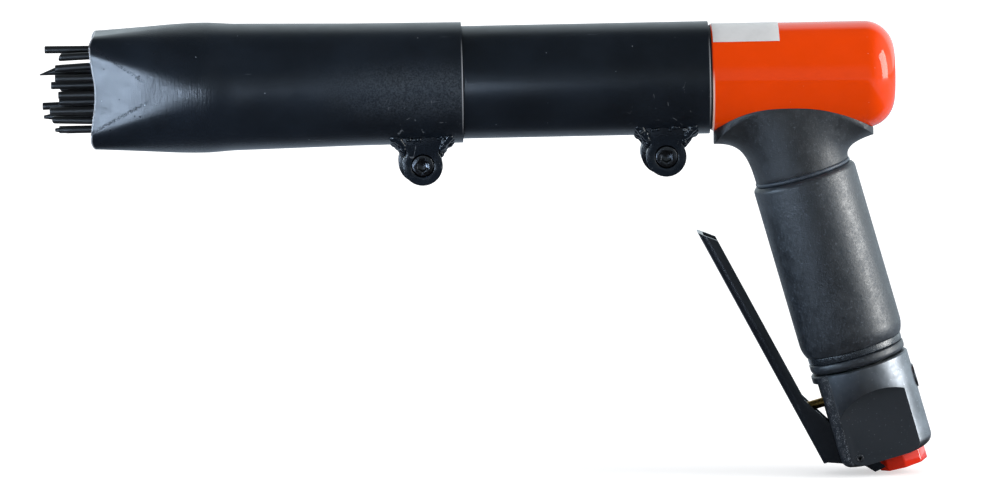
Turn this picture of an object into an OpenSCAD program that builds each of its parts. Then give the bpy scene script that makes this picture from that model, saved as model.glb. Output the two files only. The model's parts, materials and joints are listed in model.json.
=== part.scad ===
// Pistol-grip needle scaler driven by compressed air, in millimetres.
// The origin is the middle of the grip, on the handle axis, with +Z up and the needles toward -X.
// Barrel pieces are drawn in the barrel frame: +Z forward, +X up, zero where the handle axis crosses.
// Handle pieces are drawn in the handle frame: +Z down the handle, +X forward, zero at the same crossing.

/* [Housing] */
// Outer diameter of the rear housing
housing_d = 42.8; // [41:0.2:44]
// Length of the housing in front of the handle axis
housing_front = 25.7; // [24:0.1:30]
// Length of the housing behind the handle axis
housing_rear = 47.8; // [45:0.1:60]
// Radius of the housing's closed end
housing_round = 12; // [4:0.5:15]
// Wall of the housing
housing_wall = 4; // [3:0.1:5]
// Thickness of the housing's closed end
housing_end = 6; // [4:0.5:9]

/* [Rear tube] */
// Outer diameter of the rear tube
tube_d = 45; // [44:0.5:48]
// Wall of the rear tube
tube_wall = 2; // [1.5:0.1:2.5]
// Length of the rear tube
rear_tube_l = 145.5; // [138:0.5:160]
// Open joint between the housing and the rear tube
tube_joint = 0.8; // [0.3:0.1:1.5]

/* [Front tube] */
// Length of the front tube with its nozzle
front_tube_l = 148; // [130:0.5:165]
// Length of rear tube inside the front tube
tube_overlap = 47; // [40:0.5:60]
// Wall of the front tube
front_wall = 1.5; // [1.2:0.1:2]
// Growth of the front tube's diameter from its clamp to its nozzle
tube_flare = 2.4; // [0.5:0.1:4]

/* [Nozzle] */
// Length of the pressed nozzle
nozzle_l = 45; // [35:0.5:55]
// Height of the nozzle's mouth
nozzle_h = 47; // [44:0.5:50]
// Width of the nozzle's mouth
nozzle_w = 39.5; // [38.5:0.5:46]
// Corner radius of the nozzle's mouth
nozzle_corner = 7.5; // [4:0.5:12]
// Growth in diameter where the pressing starts
nozzle_bulge = 1.4; // [0.4:0.1:2.5]
// Length of tube over which it bulges
nozzle_bulge_l = 14; // [8:0.5:20]
// Depth of the hollow in the mouth's side edges
nozzle_hollow = 2; // [0.5:0.1:4]

/* [Clamps] */
// Diameter of a clamp ear round its screw
ear_d = 16; // [14:0.5:18]
// Thickness of a clamp ear
ear_t = 11; // [8:0.5:12]
// Distance of the screw below the tube's surface
ear_drop = 7.8; // [7:0.1:10]
// Distance of the rear clamp's screw from its tube's rear end
rear_ear_back = 17.7; // [13:0.1:20]
// Distance of the front clamp's screw from its tube's rear end
front_ear_back = 16.4; // [13:0.1:20]
// Width of a web between the ear and the tube
web_w = 11.2; // [9:0.1:14]
// Growth of a web on each side where it meets the tube
web_flare = 5.4; // [2:0.1:6]
// Width of the split
split_w = 3; // [2:0.5:4]
// Length of the split
split_l = 36; // [28:1:42]
// Diameter of a clamp screw
screw_d = 5; // [4:0.5:5.5]
// Diameter of its head
screw_head_d = 8.5; // [7.5:0.1:9]
// Height of its head
screw_head_l = 4.6; // [4:0.1:5]
// Width of its hexagon socket
screw_socket = 4; // [3:0.5:5]

/* [Needles] */
// Diameter of a needle
needle_d = 3; // [2:0.1:3.2]
// Length of a new needle
needle_l = 180; // [175:1:190]
// Diameter of a needle's head
needle_head_d = 4.8; // [4:0.1:5]
// Length of a needle's head
needle_head_l = 3; // [2:0.1:4]
// Most that a needle is worn short
needle_wear = 8; // [3:0.5:10]
// Least that a needle is worn short
needle_wear_least = 1.8; // [0:0.1:2.5]
// Length of the ground tip of a needle
needle_tip_l = 4; // [2:0.5:6]
// Thickness of the needle holder
holder_l = 17; // [14:0.5:20]

/* [Hammer] */
// Bore of the cylinder
bore_d = 24; // [22:0.5:26]
// Length of the cylinder
cylinder_l = 127.8; // [124:0.2:130]
// Length of the piston
piston_l = 50; // [40:1:55]
// Stroke of the piston
piston_stroke = 28.5; // [20:0.5:32]
// Diameter of the anvil's stem
anvil_d = 18; // [14:0.5:20]
// Thickness of the anvil's head
anvil_head_l = 10.4; // [8:0.2:11]
// Wire of the return spring
spring_wire = 2; // [1.5:0.1:2]
// Turns of the return spring
spring_turns = 6; // [4:1:8]

/* [Handle] */
// Lean of the handle from square to the barrel, in degrees
lean = 15.5; // [10:0.5:20]
// Distance of the grip sleeve's top from the barrel axis
grip_start = 41; // [39:0.5:46]
// Length of the grip sleeve
grip_l = 72; // [60:1:85]
// Diameter of the grip sleeve
grip_d = 42; // [40:0.5:43]
// Diameter of the saddle's neck and of the grip collar
neck_d = 39; // [36:0.5:39.5]
// Length of the saddle along the housing
saddle_l = 64; // [52:0.5:66]
// Width of the saddle across the housing
saddle_w = 36.4; // [32:0.2:38]
// Length of the grip collar
collar_l = 7; // [5:0.5:10]
// Outer diameter of the handle core
core_d = 28; // [24:0.5:29]
// Bore of the handle core
core_bore = 14; // [12:0.5:18]

/* [Throttle] */
// Diameter of the valve body
valve_d = 40; // [39:0.5:42]
// Length of the valve body
valve_l = 39.2; // [37.5:0.2:44]
// Distance of the valve bore below the top of the valve body
valve_drop = 11.6; // [11:0.1:12.5]
// Diameter of the valve bore and its plug
valve_bore_d = 9.6; // [9:0.1:10.5]
// Diameter of the valve stem
stem_d = 3.8; // [3:0.1:4.2]
// Width of the lever
lever_w = 16; // [14:0.5:18]
// Sheet thickness of the lever
lever_t = 1.6; // [1.2:0.1:2]
// Depth of the lever's channel
lever_depth = 5.4; // [4:0.1:6]
// Length of the lever's channel
lever_l = 106.6; // [90:0.2:112]
// How far the channel's edges are cut back at its tip
lever_tip_back = 6.3; // [2:0.1:8]
// Lean of the released lever from the handle, in degrees
lever_slope = 12.1; // [11.5:0.1:14]
// Full squeeze of the lever, in degrees
lever_squeeze = 11; // [6:0.5:11]
// Diameter of the lever pin
pin_d = 3.2; // [3:0.1:4]
// Distance of the lever pin in front of the handle axis
pin_forward = 10.8; // [10:0.1:12]
// Distance of the lever pin above the foot of the valve body
pin_rise = 3.6; // [3.4:0.1:4.5]

/* [Air inlet] */
// Width across the flats of the inlet bush
inlet_af = 18.2; // [17.6:0.1:19]
// Tapping bore of the inlet thread
inlet_bore = 11.445; // [9:0.005:11.5]
// Distance of the inlet behind the handle axis
inlet_back = 6; // [5.5:0.1:6.5]
// Height of the octagon
inlet_head_l = 6; // [4:0.1:7]

/* [Hidden] */
$fn = 96;

// Gaps and overruns shared by all pieces
overrun = 1;
fit = 0.05;
gap = 0.3;
edge = 0.6;
half = 0.5;

// Places of the two axes
grip_mid = grip_start + grip_l * half;
crossing_x = -grip_mid * sin(lean);
barrel_z = grip_mid * cos(lean);

// Housing and what it encloses, along the barrel
housing_r = housing_d * half;
housing_bore_r = housing_r - housing_wall;
buffer_l = 4;
chest_l = 14;
chest_hole_r = 5;
port_r = 2;
port_count = 6;
port_circle_share = 0.72;
housing_floor = housing_end - housing_rear;
chest_back = housing_floor + buffer_l;
cylinder_back = chest_back + chest_l;
cylinder_front = cylinder_back + cylinder_l;

// Tubes, along the barrel
tube_r = tube_d * half;
tube_bore_r = tube_r - tube_wall;
tube_back = housing_front + tube_joint;
tube_front = tube_back + rear_tube_l;
tube_slide = 0.1;
front_back = tube_front - tube_overlap;
front_end = front_back + front_tube_l;
front_back_r = tube_r + tube_slide + front_wall;
front_r = front_back_r + tube_flare * half;
bulge_r = front_r + nozzle_bulge * half;
nozzle_start = front_end - nozzle_l;
bulge_start = nozzle_start - nozzle_bulge_l;
nozzle_lap = 0.4;
nozzle_step = 0.25;
hollow_half = nozzle_h * half - nozzle_corner * half;
hollow_r = (pow(hollow_half, 2) + pow(nozzle_hollow, 2)) / nozzle_hollow * half;

// Clamps
ear_r = ear_d * half;
web_rise = 2.5;
web_root = 5;
head_gap = 0.4;

// Hammer, along the barrel
bore_r = bore_d * half;
anvil_r = anvil_d * half;
bush_wall = 4;
bush_l = 24;
bush_back = cylinder_front - bush_l;
anvil_back = cylinder_front + gap;
anvil_front = anvil_back + anvil_head_l;
piston_gap = 1;
piston_back = cylinder_back + piston_gap;
piston_front = piston_back + piston_l;
anvil_tail = piston_front + piston_stroke + gap;
piston_fit = 0.03;
piston_groove = 0.6;
piston_groove_l = 2.4;
piston_land = 7;
exhaust_r = 2.5;
exhaust_share = 0.55;
flute_r = 3;
flute_count = 4;
air_slot_w = 8;
air_slot_depth = 2;

// Needles, from the centre outward
needle_counts = [4, 9, 15];
ring_shares = [0.207, 0.473, 0.78];
needle_turns = [20, 8, 5];
wear_turn = 137.5;
needle_r = needle_d * half;
needle_hole_gap = 0.2;
needle_back = anvil_front + gap;
holder_r = tube_bore_r - gap;
holder_seat = needle_back + needle_head_l;
holder_front = needle_back + holder_l;
needle_reach = tube_bore_r * ring_shares[2];
dish_r = needle_reach + needle_head_d * half + gap;
anvil_head_r = dish_r - gap;
tip_r_share = 0.35;

// Return spring and its stop
stop_l = 4;
stop_back = tube_front - stop_l;
stop_bore_r = needle_reach + needle_r + gap;
spring_r = tube_bore_r - gap - spring_wire * half;
coil_rings = 12;
coil_sides = 6;

// Handle, down the handle axis
grip_r = grip_d * half;
grip_round = 2.4;
grip_foot_round = 12;
grip_end = grip_start + grip_l;
neck_r = neck_d * half;
grip_foot_turn = acos(1 - (grip_r - neck_r) / grip_foot_round);
grip_foot_l = grip_foot_round * sin(grip_foot_turn);
core_r = core_d * half;
core_bore_r = core_bore * half;
passage_r = 5;
boss_wall = 2.4;
boss_r = core_r + boss_wall;
boss_gap = 2;
boss_end = grip_start - boss_gap;
socket_depth = 11;
socket_start = boss_end - socket_depth;
collar_groove = 1;
collar_groove_l = 0.7;
collar_groove_share = 0.45;
collar_round = 1.2;
collar_joint = 0.4;
valve_top = grip_end + collar_l + collar_joint;
valve_end = valve_top + valve_l;
core_grip = 4.6;
core_end = valve_top + core_grip;

// Saddle
saddle_front_lip = 5.4;
saddle_rear_lip = 2.8;
saddle_side_lip = 0.6;
saddle_shift = 0.8;
saddle_under = 2;
saddle_square = 2.6;
saddle_inside = 6;
saddle_joint = 0.6;
saddle_steps = 9;
saddle_sides = 48;
lip_pull_shares = [0.66, -0.2];
lip_fall_shares = [0.13, 0.13];
neck_pull_shares = [0.62, -0.18];
saddle_end = grip_start - saddle_joint;

// Valve body
valve_r = valve_d * half;
valve_round = 4;
valve_a = valve_top + valve_drop;
valve_bore_r = valve_bore_d * half;
flat_y = 14;
flat_r = 22;
flat_back = 2.7;
flat_drop = 10;
flat_top = valve_top + flat_drop;

// Lever, in its own frame at the pin: +X out from the web, +Y up the channel
pin_a = valve_end - pin_rise;
pin_r = pin_d * half;
pin_bore_share = 0.5;
web_out = 13.74;
web_in = web_out - lever_t;
web_foot = 3.7;
lever_round = 3;
cheek_in = web_out - lever_depth;
cheek_top = 30.6;
cheek_knee = [3.3, 15.5];
cheek_r = 3.6;
heel_front = [0, -4.1];
heel_low = [-2.8, -8.8];
heel_tip = [-7.5, -9.1];
stem_tip = pin_forward + web_in / cos(lever_slope)
    + (pin_a - valve_a - stem_d * half) * tan(lever_slope) - gap;

// Slot that the squeezed lever sinks into
slot_gap = 0.5;
slot_heel = 6.4;
slot_drop = 3;
slot_rise = 1;
slot_half = lever_w * half + slot_gap;
slot_top = valve_top + slot_drop;
slot_corner = squeezed(cheek_knee);
slot_floor_x = slot_corner[0] - slot_gap;
slot_bend = slot_corner[1];
slot_deep_x = pin_forward - slot_heel - slot_gap;
slot_knee = pin_a - slot_heel - slot_rise;

// Throttle valve, along the valve bore
stem_r = stem_d * half;
seat_back = 1;
seat_chamber_l = 7;
seat_chamber_r = 3.2;
seat_port_r = 2.2;
seat_port_x = seat_back + seat_chamber_l * half;
seal_r = 0.85;
seal_circle_r = stem_r + fit + seal_r;
seal_inset = 3;
seal_x = slot_floor_x - seal_inset;
poppet_l = 3;
poppet_gap = 0.6;
poppet_r = valve_bore_r - poppet_gap;
poppet_front = seat_back - gap;
plug_out = 0.5;
plug_l = 6;
plug_back = -valve_r - plug_out;
plug_front = plug_back + plug_l;
plug_socket = 4;
plug_socket_l = 2.5;
valve_wire = 0.8;
valve_turns = 6;
valve_spring_r = valve_bore_r - gap - valve_wire;

// Air inlet
spigot_r = 7.5;
spigot_l = 10;
spigot_top = valve_end - spigot_l;
inlet_passage_r = 3.5;
outlet_x = 4;
outlet_r = 2.5;
inlet_sides = 8;

// Points of an arc, in equal steps
function arc(cx, cy, r, from, to, steps = 8) =
    [for (i = [0 : steps]) [cx + r * cos(from + (to - from) * i / steps),
                            cy + r * sin(from + (to - from) * i / steps)]];

// Radius across the corners of a hexagon
function hex_r(flats) = flats * half / cos(30);

// A place on the squeezed lever: distance in front of and along the handle axis
function squeezed(place) =
    let (turn = lever_slope - lever_squeeze)
    [pin_forward + place[0] * cos(turn) + place[1] * sin(turn),
     pin_a - place[1] * cos(turn) + place[0] * sin(turn)];

// Where needle i of a ring stands, and how much it is worn
function needle_place(ring, i) =
    let (turn = needle_turns[ring] + 360 * i / needle_counts[ring],
         reach = tube_bore_r * ring_shares[ring])
    [reach * cos(turn), reach * sin(turn)];
function needle_worn(ring, i) = needle_wear_least
    + (needle_wear - needle_wear_least) * abs(sin(wear_turn * (i + ring * needle_counts[ring])));

// Middle line of a coil, and its least gap to itself
function coil_line(r, turns, from, to, rings) =
    [for (i = [0 : turns * rings])
        [r * cos(360 * i / rings), r * sin(360 * i / rings), from + (to - from) * i / (turns * rings)]];
function coil_gap(line, rings, wire) =
    min([for (i = [0 : len(line) - 1])
         for (j = [i + rings / 2 : 1 : len(line) - 1]) norm(line[i] - line[j]) - wire]);

module barrel_frame() {
    translate([crossing_x, 0, barrel_z])
        rotate([0, -90, 0])
            children();
}

module handle_frame() {
    translate([crossing_x, 0, barrel_z])
        rotate([0, 180 - lean, 0])
            children();
}

// A solid rod between two stations of its axis
module rod(r, from, to) {
    translate([0, 0, from])
        cylinder(r = r, h = to - from);
}

// A rod along the forward axis of the handle frame, at the valve bore
module valve_rod(r, from, to) {
    translate([from, 0, valve_a])
        rotate([0, 90, 0])
            cylinder(r = r, h = to - from);
}

// A rod across the tool, centred
module cross_rod(r, length) {
    rotate([90, 0, 0])
        cylinder(r = r, h = length, center = true);
}

// A sleeve between two stations of its axis
module sleeve(outer_r, inner_r, from, to) {
    difference() {
        rod(outer_r, from, to);
        rod(inner_r, from - overrun, to + overrun);
    }
}

// A spring wound as one tube along a helix
module coil(r, wire, turns, from, to, rings) {
    line = coil_line(r, turns, from, to, rings);
    count = len(line);
    points = [for (i = [0 : count - 1]) for (k = [0 : coil_sides - 1])
        let (out = line[i][0] / r, side = line[i][1] / r,
             u = wire * half * cos(360 * k / coil_sides), v = wire * half * sin(360 * k / coil_sides))
        line[i] + [out * u, side * u, v]];
    walls = [for (i = [0 : count - 2]) for (k = [0 : coil_sides - 1]) for (t = [0, 1])
        let (a = i * coil_sides + k, b = i * coil_sides + (k + 1) % coil_sides)
        t == 0 ? [a, a + coil_sides, b] : [b, a + coil_sides, b + coil_sides]];
    start = [for (k = [1 : coil_sides - 2]) [0, k, k + 1]];
    last = (count - 1) * coil_sides;
    finish = [for (k = [1 : coil_sides - 2]) [last, last + k + 1, last + k]];
    polyhedron(points, concat(walls, start, finish));
}

module rear_housing() {
    color("orangered")
    difference() {
        union() {
            barrel_frame()
                rotate_extrude()
                    polygon(concat(
                        [[0, housing_front], [0, -housing_rear]],
                        arc(housing_r - housing_round, housing_round - housing_rear, housing_round, -90, 0),
                        [[housing_r, housing_front - edge], [housing_r - edge, housing_front]]));
            handle_frame()
                rod(boss_r, 0, boss_end);
        }
        barrel_frame()
            rod(housing_bore_r, housing_floor, housing_front + overrun);
        handle_frame() {
            rod(core_r + fit, socket_start, boss_end + overrun);
            rod(passage_r, 0, socket_start + overrun);
        }
    }
}

// A sine or cosine pressed outward: an oval of power 2 becomes squarer as the power grows
function pressed(value, power) = sign(value) * pow(abs(value), 2 / power);

// A share at the middle of the saddle, changed toward its rear end
function toward_rear(shares, rear) = shares[0] + shares[1] * rear;

// One line of the saddle's skin: from inside the housing over the lip and down the flare to the neck
function saddle_strand(turn) =
    let (rear = cos(turn),
         across = saddle_w * half * pressed(sin(turn), saddle_square),
         skin = sqrt(max(0, housing_r * housing_r - across * across)),
         end_lip = rear > 0 ? saddle_rear_lip : saddle_front_lip,
         lip = saddle_side_lip + (end_lip - saddle_side_lip) * rear * rear,
         along = saddle_shift + tan(lean) * (skin + saddle_under)
             + saddle_l * half * pressed(rear, saddle_square),
         down = [sin(lean), 0, -cos(lean)],
         edge = [along, across, -skin - lip],
         foot = saddle_end * down + neck_r * [cos(lean) * rear, sin(turn), sin(lean) * rear],
         above = foot - down * (foot[2] - edge[2]) / down[2],
         first = edge + (above - edge) * toward_rear(lip_pull_shares, rear)
             + (foot - edge) * toward_rear(lip_fall_shares, rear),
         second = foot + (above - foot) * toward_rear(neck_pull_shares, rear))
    concat([[along, across, -saddle_inside]],
           [for (i = [0 : saddle_steps])
               let (t = i / saddle_steps, u = 1 - t)
               edge * u * u * u + first * 3 * t * u * u + second * 3 * t * t * u + foot * t * t * t]);

module saddle_solid() {
    strands = [for (k = [0 : saddle_sides - 1]) saddle_strand(360 * k / saddle_sides)];
    rings = [for (i = [0 : saddle_steps + 1]) [for (strand = strands) strand[i]]];
    count = len(rings);
    points = [for (ring = rings) for (p = ring) p];
    walls = [for (i = [0 : count - 2]) for (k = [0 : saddle_sides - 1]) for (t = [0, 1])
        let (a = i * saddle_sides + k, b = i * saddle_sides + (k + 1) % saddle_sides)
        t == 0 ? [a, b, a + saddle_sides] : [b, b + saddle_sides, a + saddle_sides]];
    last = (count - 1) * saddle_sides;
    top = [for (k = [1 : saddle_sides - 2]) [0, k + 1, k]];
    foot = [for (k = [1 : saddle_sides - 2]) [last, last + k, last + k + 1]];
    translate([crossing_x, 0, barrel_z])
        polyhedron(points, concat(walls, top, foot));
}

module saddle() {
    color("dimgray")
    difference() {
        saddle_solid();
        barrel_frame()
            rod(housing_r + fit, -housing_rear - overrun, housing_front + saddle_l);
        handle_frame() {
            rod(boss_r + fit, 0, boss_end);
            rod(core_r + fit, boss_end - overrun, grip_start + overrun);
        }
    }
}

module handle_core() {
    color("silver")
    handle_frame()
        sleeve(core_r, core_bore_r, socket_start, core_end);
}

module grip_sleeve() {
    color("#26282c")
    handle_frame()
        rotate_extrude()
            polygon(concat(
                [[core_r + fit, grip_start]],
                arc(grip_r - grip_round, grip_start + grip_round, grip_round, -90, 0),
                arc(grip_r - grip_foot_round, grip_end - grip_foot_l, grip_foot_round, 0, grip_foot_turn),
                [[core_r + fit, grip_end]]));
}

module grip_collar() {
    color("#202226")
    handle_frame()
    difference() {
        rotate_extrude()
            polygon(concat(
                [[core_r + fit, grip_end]],
                arc(neck_r - collar_round, grip_end + collar_round, collar_round, -90, 0, 4),
                arc(neck_r - collar_round, grip_end + collar_l - collar_round, collar_round, 0, 90, 4),
                [[core_r + fit, grip_end + collar_l]]));
        translate([0, 0, grip_end + collar_l * collar_groove_share])
            sleeve(neck_r + overrun, neck_r - collar_groove, -collar_groove_l * half, collar_groove_l * half);
    }
}

// The room that the lever sweeps in the valve body's front
module lever_slot() {
    reach = valve_r + overrun;
    rotate([90, 0, 0])
        translate([0, 0, -slot_half])
            linear_extrude(2 * slot_half)
                polygon([
                    [slot_floor_x, slot_top], [slot_floor_x, slot_bend],
                    [slot_deep_x, slot_knee], [slot_deep_x, valve_end + overrun],
                    [reach, valve_end + overrun], [reach, slot_top]]);
}

// A milled flat with a round run-out at its top
module body_flat() {
    translate([-flat_back, -flat_y, flat_top + flat_r])
        rotate([90, 0, 0])
            cylinder(r = flat_r, h = valve_r);
}

module valve_body() {
    color("#4a4d52")
    handle_frame()
    difference() {
        rotate_extrude()
            polygon(concat(
                [[0, valve_end], [0, valve_top], [valve_r - edge, valve_top], [valve_r, valve_top + edge]],
                arc(valve_r - valve_round, valve_end - valve_round, valve_round, 0, 90)));
        rod(core_r + fit, valve_top - overrun, core_end);
        lever_slot();
        body_flat();
        mirror([0, 1, 0])
            body_flat();
        translate([pin_forward, 0, pin_a])
            cross_rod(pin_r + fit, valve_d);
        valve_rod(valve_bore_r, -valve_r - overrun, slot_floor_x + overrun);
        translate([-inlet_back, 0, 0]) {
            rod(spigot_r + fit, spigot_top, valve_end + overrun);
            rod(inlet_passage_r, valve_a, spigot_top + overrun);
        }
        translate([outlet_x, 0, 0])
            rod(outlet_r, core_end - overrun, valve_a);
    }
}

module inlet_bush() {
    color("#d8330f")
    handle_frame()
        translate([-inlet_back, 0, 0])
            difference() {
                union() {
                    rod(spigot_r, spigot_top, valve_end);
                    translate([0, 0, valve_end])
                        cylinder(r = inlet_af * half / cos(180 / inlet_sides), h = inlet_head_l, $fn = inlet_sides);
                }
                rod(inlet_bore * half, spigot_top - overrun, valve_end + inlet_head_l + overrun);
            }
}

module lever_pin() {
    color("#303338")
    handle_frame()
        translate([pin_forward, 0, pin_a])
            difference() {
                cross_rod(pin_r, 2 * flat_y);
                cross_rod(pin_r * pin_bore_share, 2 * flat_y + overrun);
            }
}

// Cross-section of the lever's channel: X across the tool, Y out from the pin
module channel_outline(width, inner, outer, corner) {
    side = width * half;
    polygon(concat(
        [[-side, inner], [side, inner]],
        arc(side - corner, outer - corner, corner, 0, 90),
        arc(corner - side, outer - corner, corner, 90, 180)));
}

// The channel, with its tip cut aslant from the web's edge back to the open edges
module lever_channel() {
    tip_slope = lever_tip_back / lever_depth;
    translate([0, web_foot, 0])
        difference() {
            rotate([-90, -90, 0])
                linear_extrude(lever_l + overrun)
                    difference() {
                        channel_outline(lever_w, cheek_in, web_out, lever_round);
                        channel_outline(lever_w - 2 * lever_t, cheek_in - overrun, web_in, lever_round - lever_t);
                    }
            translate([0, 0, -lever_w])
                linear_extrude(2 * lever_w)
                    polygon([
                        [web_out + overrun, lever_l + tip_slope * overrun],
                        [cheek_in - overrun, lever_l - lever_tip_back - tip_slope * overrun],
                        [cheek_in - overrun, lever_l + lever_tip_back],
                        [web_out + overrun, lever_l + lever_tip_back]]);
        }
}

// One cheek of the lever, from the channel down to the pin and the stop heel
module lever_cheek() {
    linear_extrude(lever_t)
        difference() {
            union() {
                polygon([
                    [web_in, web_foot], [web_in, cheek_top], [cheek_in, cheek_top], cheek_knee,
                    [-cheek_r, 0], heel_tip, heel_low, heel_front]);
                circle(r = cheek_r);
            }
            circle(r = pin_r + fit);
        }
}

module throttle_lever() {
    color("#1c1e22")
    handle_frame()
        translate([pin_forward, 0, pin_a])
            rotate([-90, 0, 0])
                rotate([0, 0, -lever_slope])
                    union() {
                        lever_channel();
                        for (side = [0, 1])
                            mirror([0, 0, side])
                                translate([0, 0, lever_w * half - lever_t])
                                    lever_cheek();
                    }
}

module valve_stem() {
    color("goldenrod")
    handle_frame()
    union() {
        valve_rod(stem_r, poppet_front - overrun, stem_tip);
        valve_rod(poppet_r, poppet_front - poppet_l, poppet_front);
    }
}

module valve_seat() {
    color("darkgoldenrod")
    handle_frame()
    difference() {
        valve_rod(valve_bore_r - fit, seat_back, slot_floor_x);
        valve_rod(stem_r + fit, seat_back - overrun, slot_floor_x + overrun);
        valve_rod(seat_chamber_r, seat_back - overrun, seat_back + seat_chamber_l);
        valve_rod(seal_circle_r + seal_r + fit, seal_x - seal_r - fit, seal_x + seal_r + fit);
        translate([seat_port_x, 0, 0])
            rod(seat_port_r, valve_a - valve_bore_r - overrun, valve_a);
    }
}

module stem_seal() {
    color("black")
    handle_frame()
        translate([seal_x, 0, valve_a])
            rotate([0, 90, 0])
                rotate_extrude()
                    translate([seal_circle_r, 0])
                        circle(r = seal_r);
}

module valve_spring() {
    rings = 8;
    from = plug_front + valve_wire;
    to = poppet_front - poppet_l - valve_wire;
    echo(valve_spring_least_gap =
        coil_gap(coil_line(valve_spring_r, valve_turns, from, to, rings), rings, valve_wire));
    color("silver")
    handle_frame()
        translate([0, 0, valve_a])
            rotate([0, 90, 0])
                coil(valve_spring_r, valve_wire, valve_turns, from, to, rings);
}

module valve_plug() {
    color("#3a3d42")
    handle_frame()
    difference() {
        valve_rod(valve_bore_r - fit, plug_back, plug_front);
        translate([plug_back - overrun, 0, valve_a])
            rotate([0, 90, 0])
                cylinder(r = hex_r(plug_socket), h = plug_socket_l + overrun, $fn = 6);
    }
}

module rear_buffer() {
    color("black")
    barrel_frame()
        rod(housing_bore_r - fit, housing_floor, chest_back);
}

module valve_chest() {
    color("silver")
    barrel_frame()
    difference() {
        sleeve(housing_bore_r - fit, chest_hole_r, chest_back, cylinder_back);
        for (i = [0 : port_count - 1])
            rotate([0, 0, 360 * i / port_count])
                translate([housing_bore_r * port_circle_share, 0, 0])
                    rod(port_r, chest_back - overrun, cylinder_back + overrun);
    }
}

module cylinder_barrel() {
    exhaust_at = cylinder_back + cylinder_l * exhaust_share;
    difference() {
        union() {
            rod(housing_bore_r - fit, cylinder_back, housing_front);
            rod(tube_bore_r - fit, housing_front, cylinder_front);
        }
        rod(bore_r, cylinder_back - overrun, bush_back);
        rod(anvil_r + bush_wall, bush_back, cylinder_front + overrun);
        for (i = [0 : flute_count - 1])
            rotate([0, 0, 360 * (i + half) / flute_count]) {
                translate([tube_bore_r, 0, 0])
                    rod(flute_r, exhaust_at - exhaust_r, cylinder_front + overrun);
                translate([0, 0, exhaust_at])
                    rotate([0, 90, 0])
                        cylinder(r = exhaust_r, h = tube_bore_r);
            }
        translate([air_slot_depth - housing_bore_r - tube_r, -air_slot_w * half, cylinder_back - overrun])
            cube([tube_r, air_slot_w, overrun - cylinder_back]);
    }
}

module cylinder_node() {
    color("lightsteelblue")
    barrel_frame()
        cylinder_barrel();
}

module front_bush() {
    color("peru")
    barrel_frame()
        sleeve(anvil_r + bush_wall - fit, anvil_r + fit, bush_back, cylinder_front);
}

module piston() {
    color("gainsboro")
    barrel_frame()
    difference() {
        rod(bore_r - piston_fit, piston_back, piston_front);
        for (place = [piston_back + piston_land, piston_front - piston_land - piston_groove_l])
            sleeve(bore_r + overrun, bore_r - piston_groove, place, place + piston_groove_l);
    }
}

module anvil() {
    color("gray")
    barrel_frame()
    union() {
        rod(anvil_r, anvil_tail, anvil_front);
        rod(anvil_head_r, anvil_back, anvil_front);
    }
}

module needle_holder() {
    color("slategray")
    barrel_frame()
    difference() {
        rod(holder_r, needle_back, holder_front);
        rod(dish_r, needle_back - overrun, holder_seat);
        for (ring = [0 : len(needle_counts) - 1])
            for (i = [0 : needle_counts[ring] - 1])
                translate(needle_place(ring, i))
                    rod(needle_r + needle_hole_gap, holder_seat - overrun, holder_front + overrun);
    }
}

// One needle: upset head, shank and ground tip
module needle(length) {
    tip = needle_back + length;
    rotate_extrude($fn = 24)
        polygon([
            [0, needle_back], [needle_head_d * half, needle_back],
            [needle_head_d * half, holder_seat], [needle_r, holder_seat],
            [needle_r, tip - needle_tip_l], [needle_r * tip_r_share, tip], [0, tip]]);
}

module needles() {
    color("#3c3f44")
    barrel_frame()
        for (ring = [0 : len(needle_counts) - 1])
            for (i = [0 : needle_counts[ring] - 1])
                translate(needle_place(ring, i))
                    needle(needle_l - needle_worn(ring, i));
}

module return_spring() {
    from = holder_front + gap + spring_wire * half;
    to = stop_back - gap - spring_wire * half;
    echo(return_spring_least_gap =
        coil_gap(coil_line(spring_r, spring_turns, from, to, coil_rings), coil_rings, spring_wire));
    color("silver")
    barrel_frame()
        coil(spring_r, spring_wire, spring_turns, from, to, coil_rings);
}

module spring_stop() {
    color("dimgray")
    barrel_frame()
        sleeve(tube_bore_r - fit, stop_bore_r, stop_back, tube_front);
}

// Outline of a clamp ear with its flared web: X up, Y forward, zero on the barrel axis over the screw
module ear_outline(surface_r) {
    low = -surface_r - ear_drop;
    waist = web_w * half;
    translate([low, 0])
        circle(r = ear_r);
    polygon([
        [low, -waist], [-surface_r - web_rise, -waist], [-surface_r, -waist - web_flare],
        [web_root - surface_r, -waist - web_flare], [web_root - surface_r, waist + web_flare],
        [-surface_r, waist + web_flare], [-surface_r - web_rise, waist], [low, waist]]);
}

// Both ears of a clamp, either side of the split
module clamp_ears(surface_r) {
    for (side = [0, 1])
        mirror([0, side, 0])
            translate([0, -split_w * half, 0])
                rotate([90, 0, 0])
                    linear_extrude(ear_t)
                        ear_outline(surface_r);
}

// The split and the screw's holes, cut from a clamped tube that starts behind the screw
module clamp_cuts(surface_r, behind) {
    ear_face = split_w * half + ear_t;
    translate([-surface_r - ear_drop, 0, 0]) {
        cross_rod(screw_d * half + fit, 2 * ear_face + overrun);
        translate([0, -ear_face - overrun, 0])
            rotate([-90, 0, 0])
                cylinder(r = screw_head_d * half + head_gap, h = screw_head_l + overrun);
    }
    translate([-surface_r - ear_d - ear_drop, -split_w * half, -behind - overrun])
        cube([surface_r + ear_d, split_w, split_l + overrun]);
}

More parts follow.
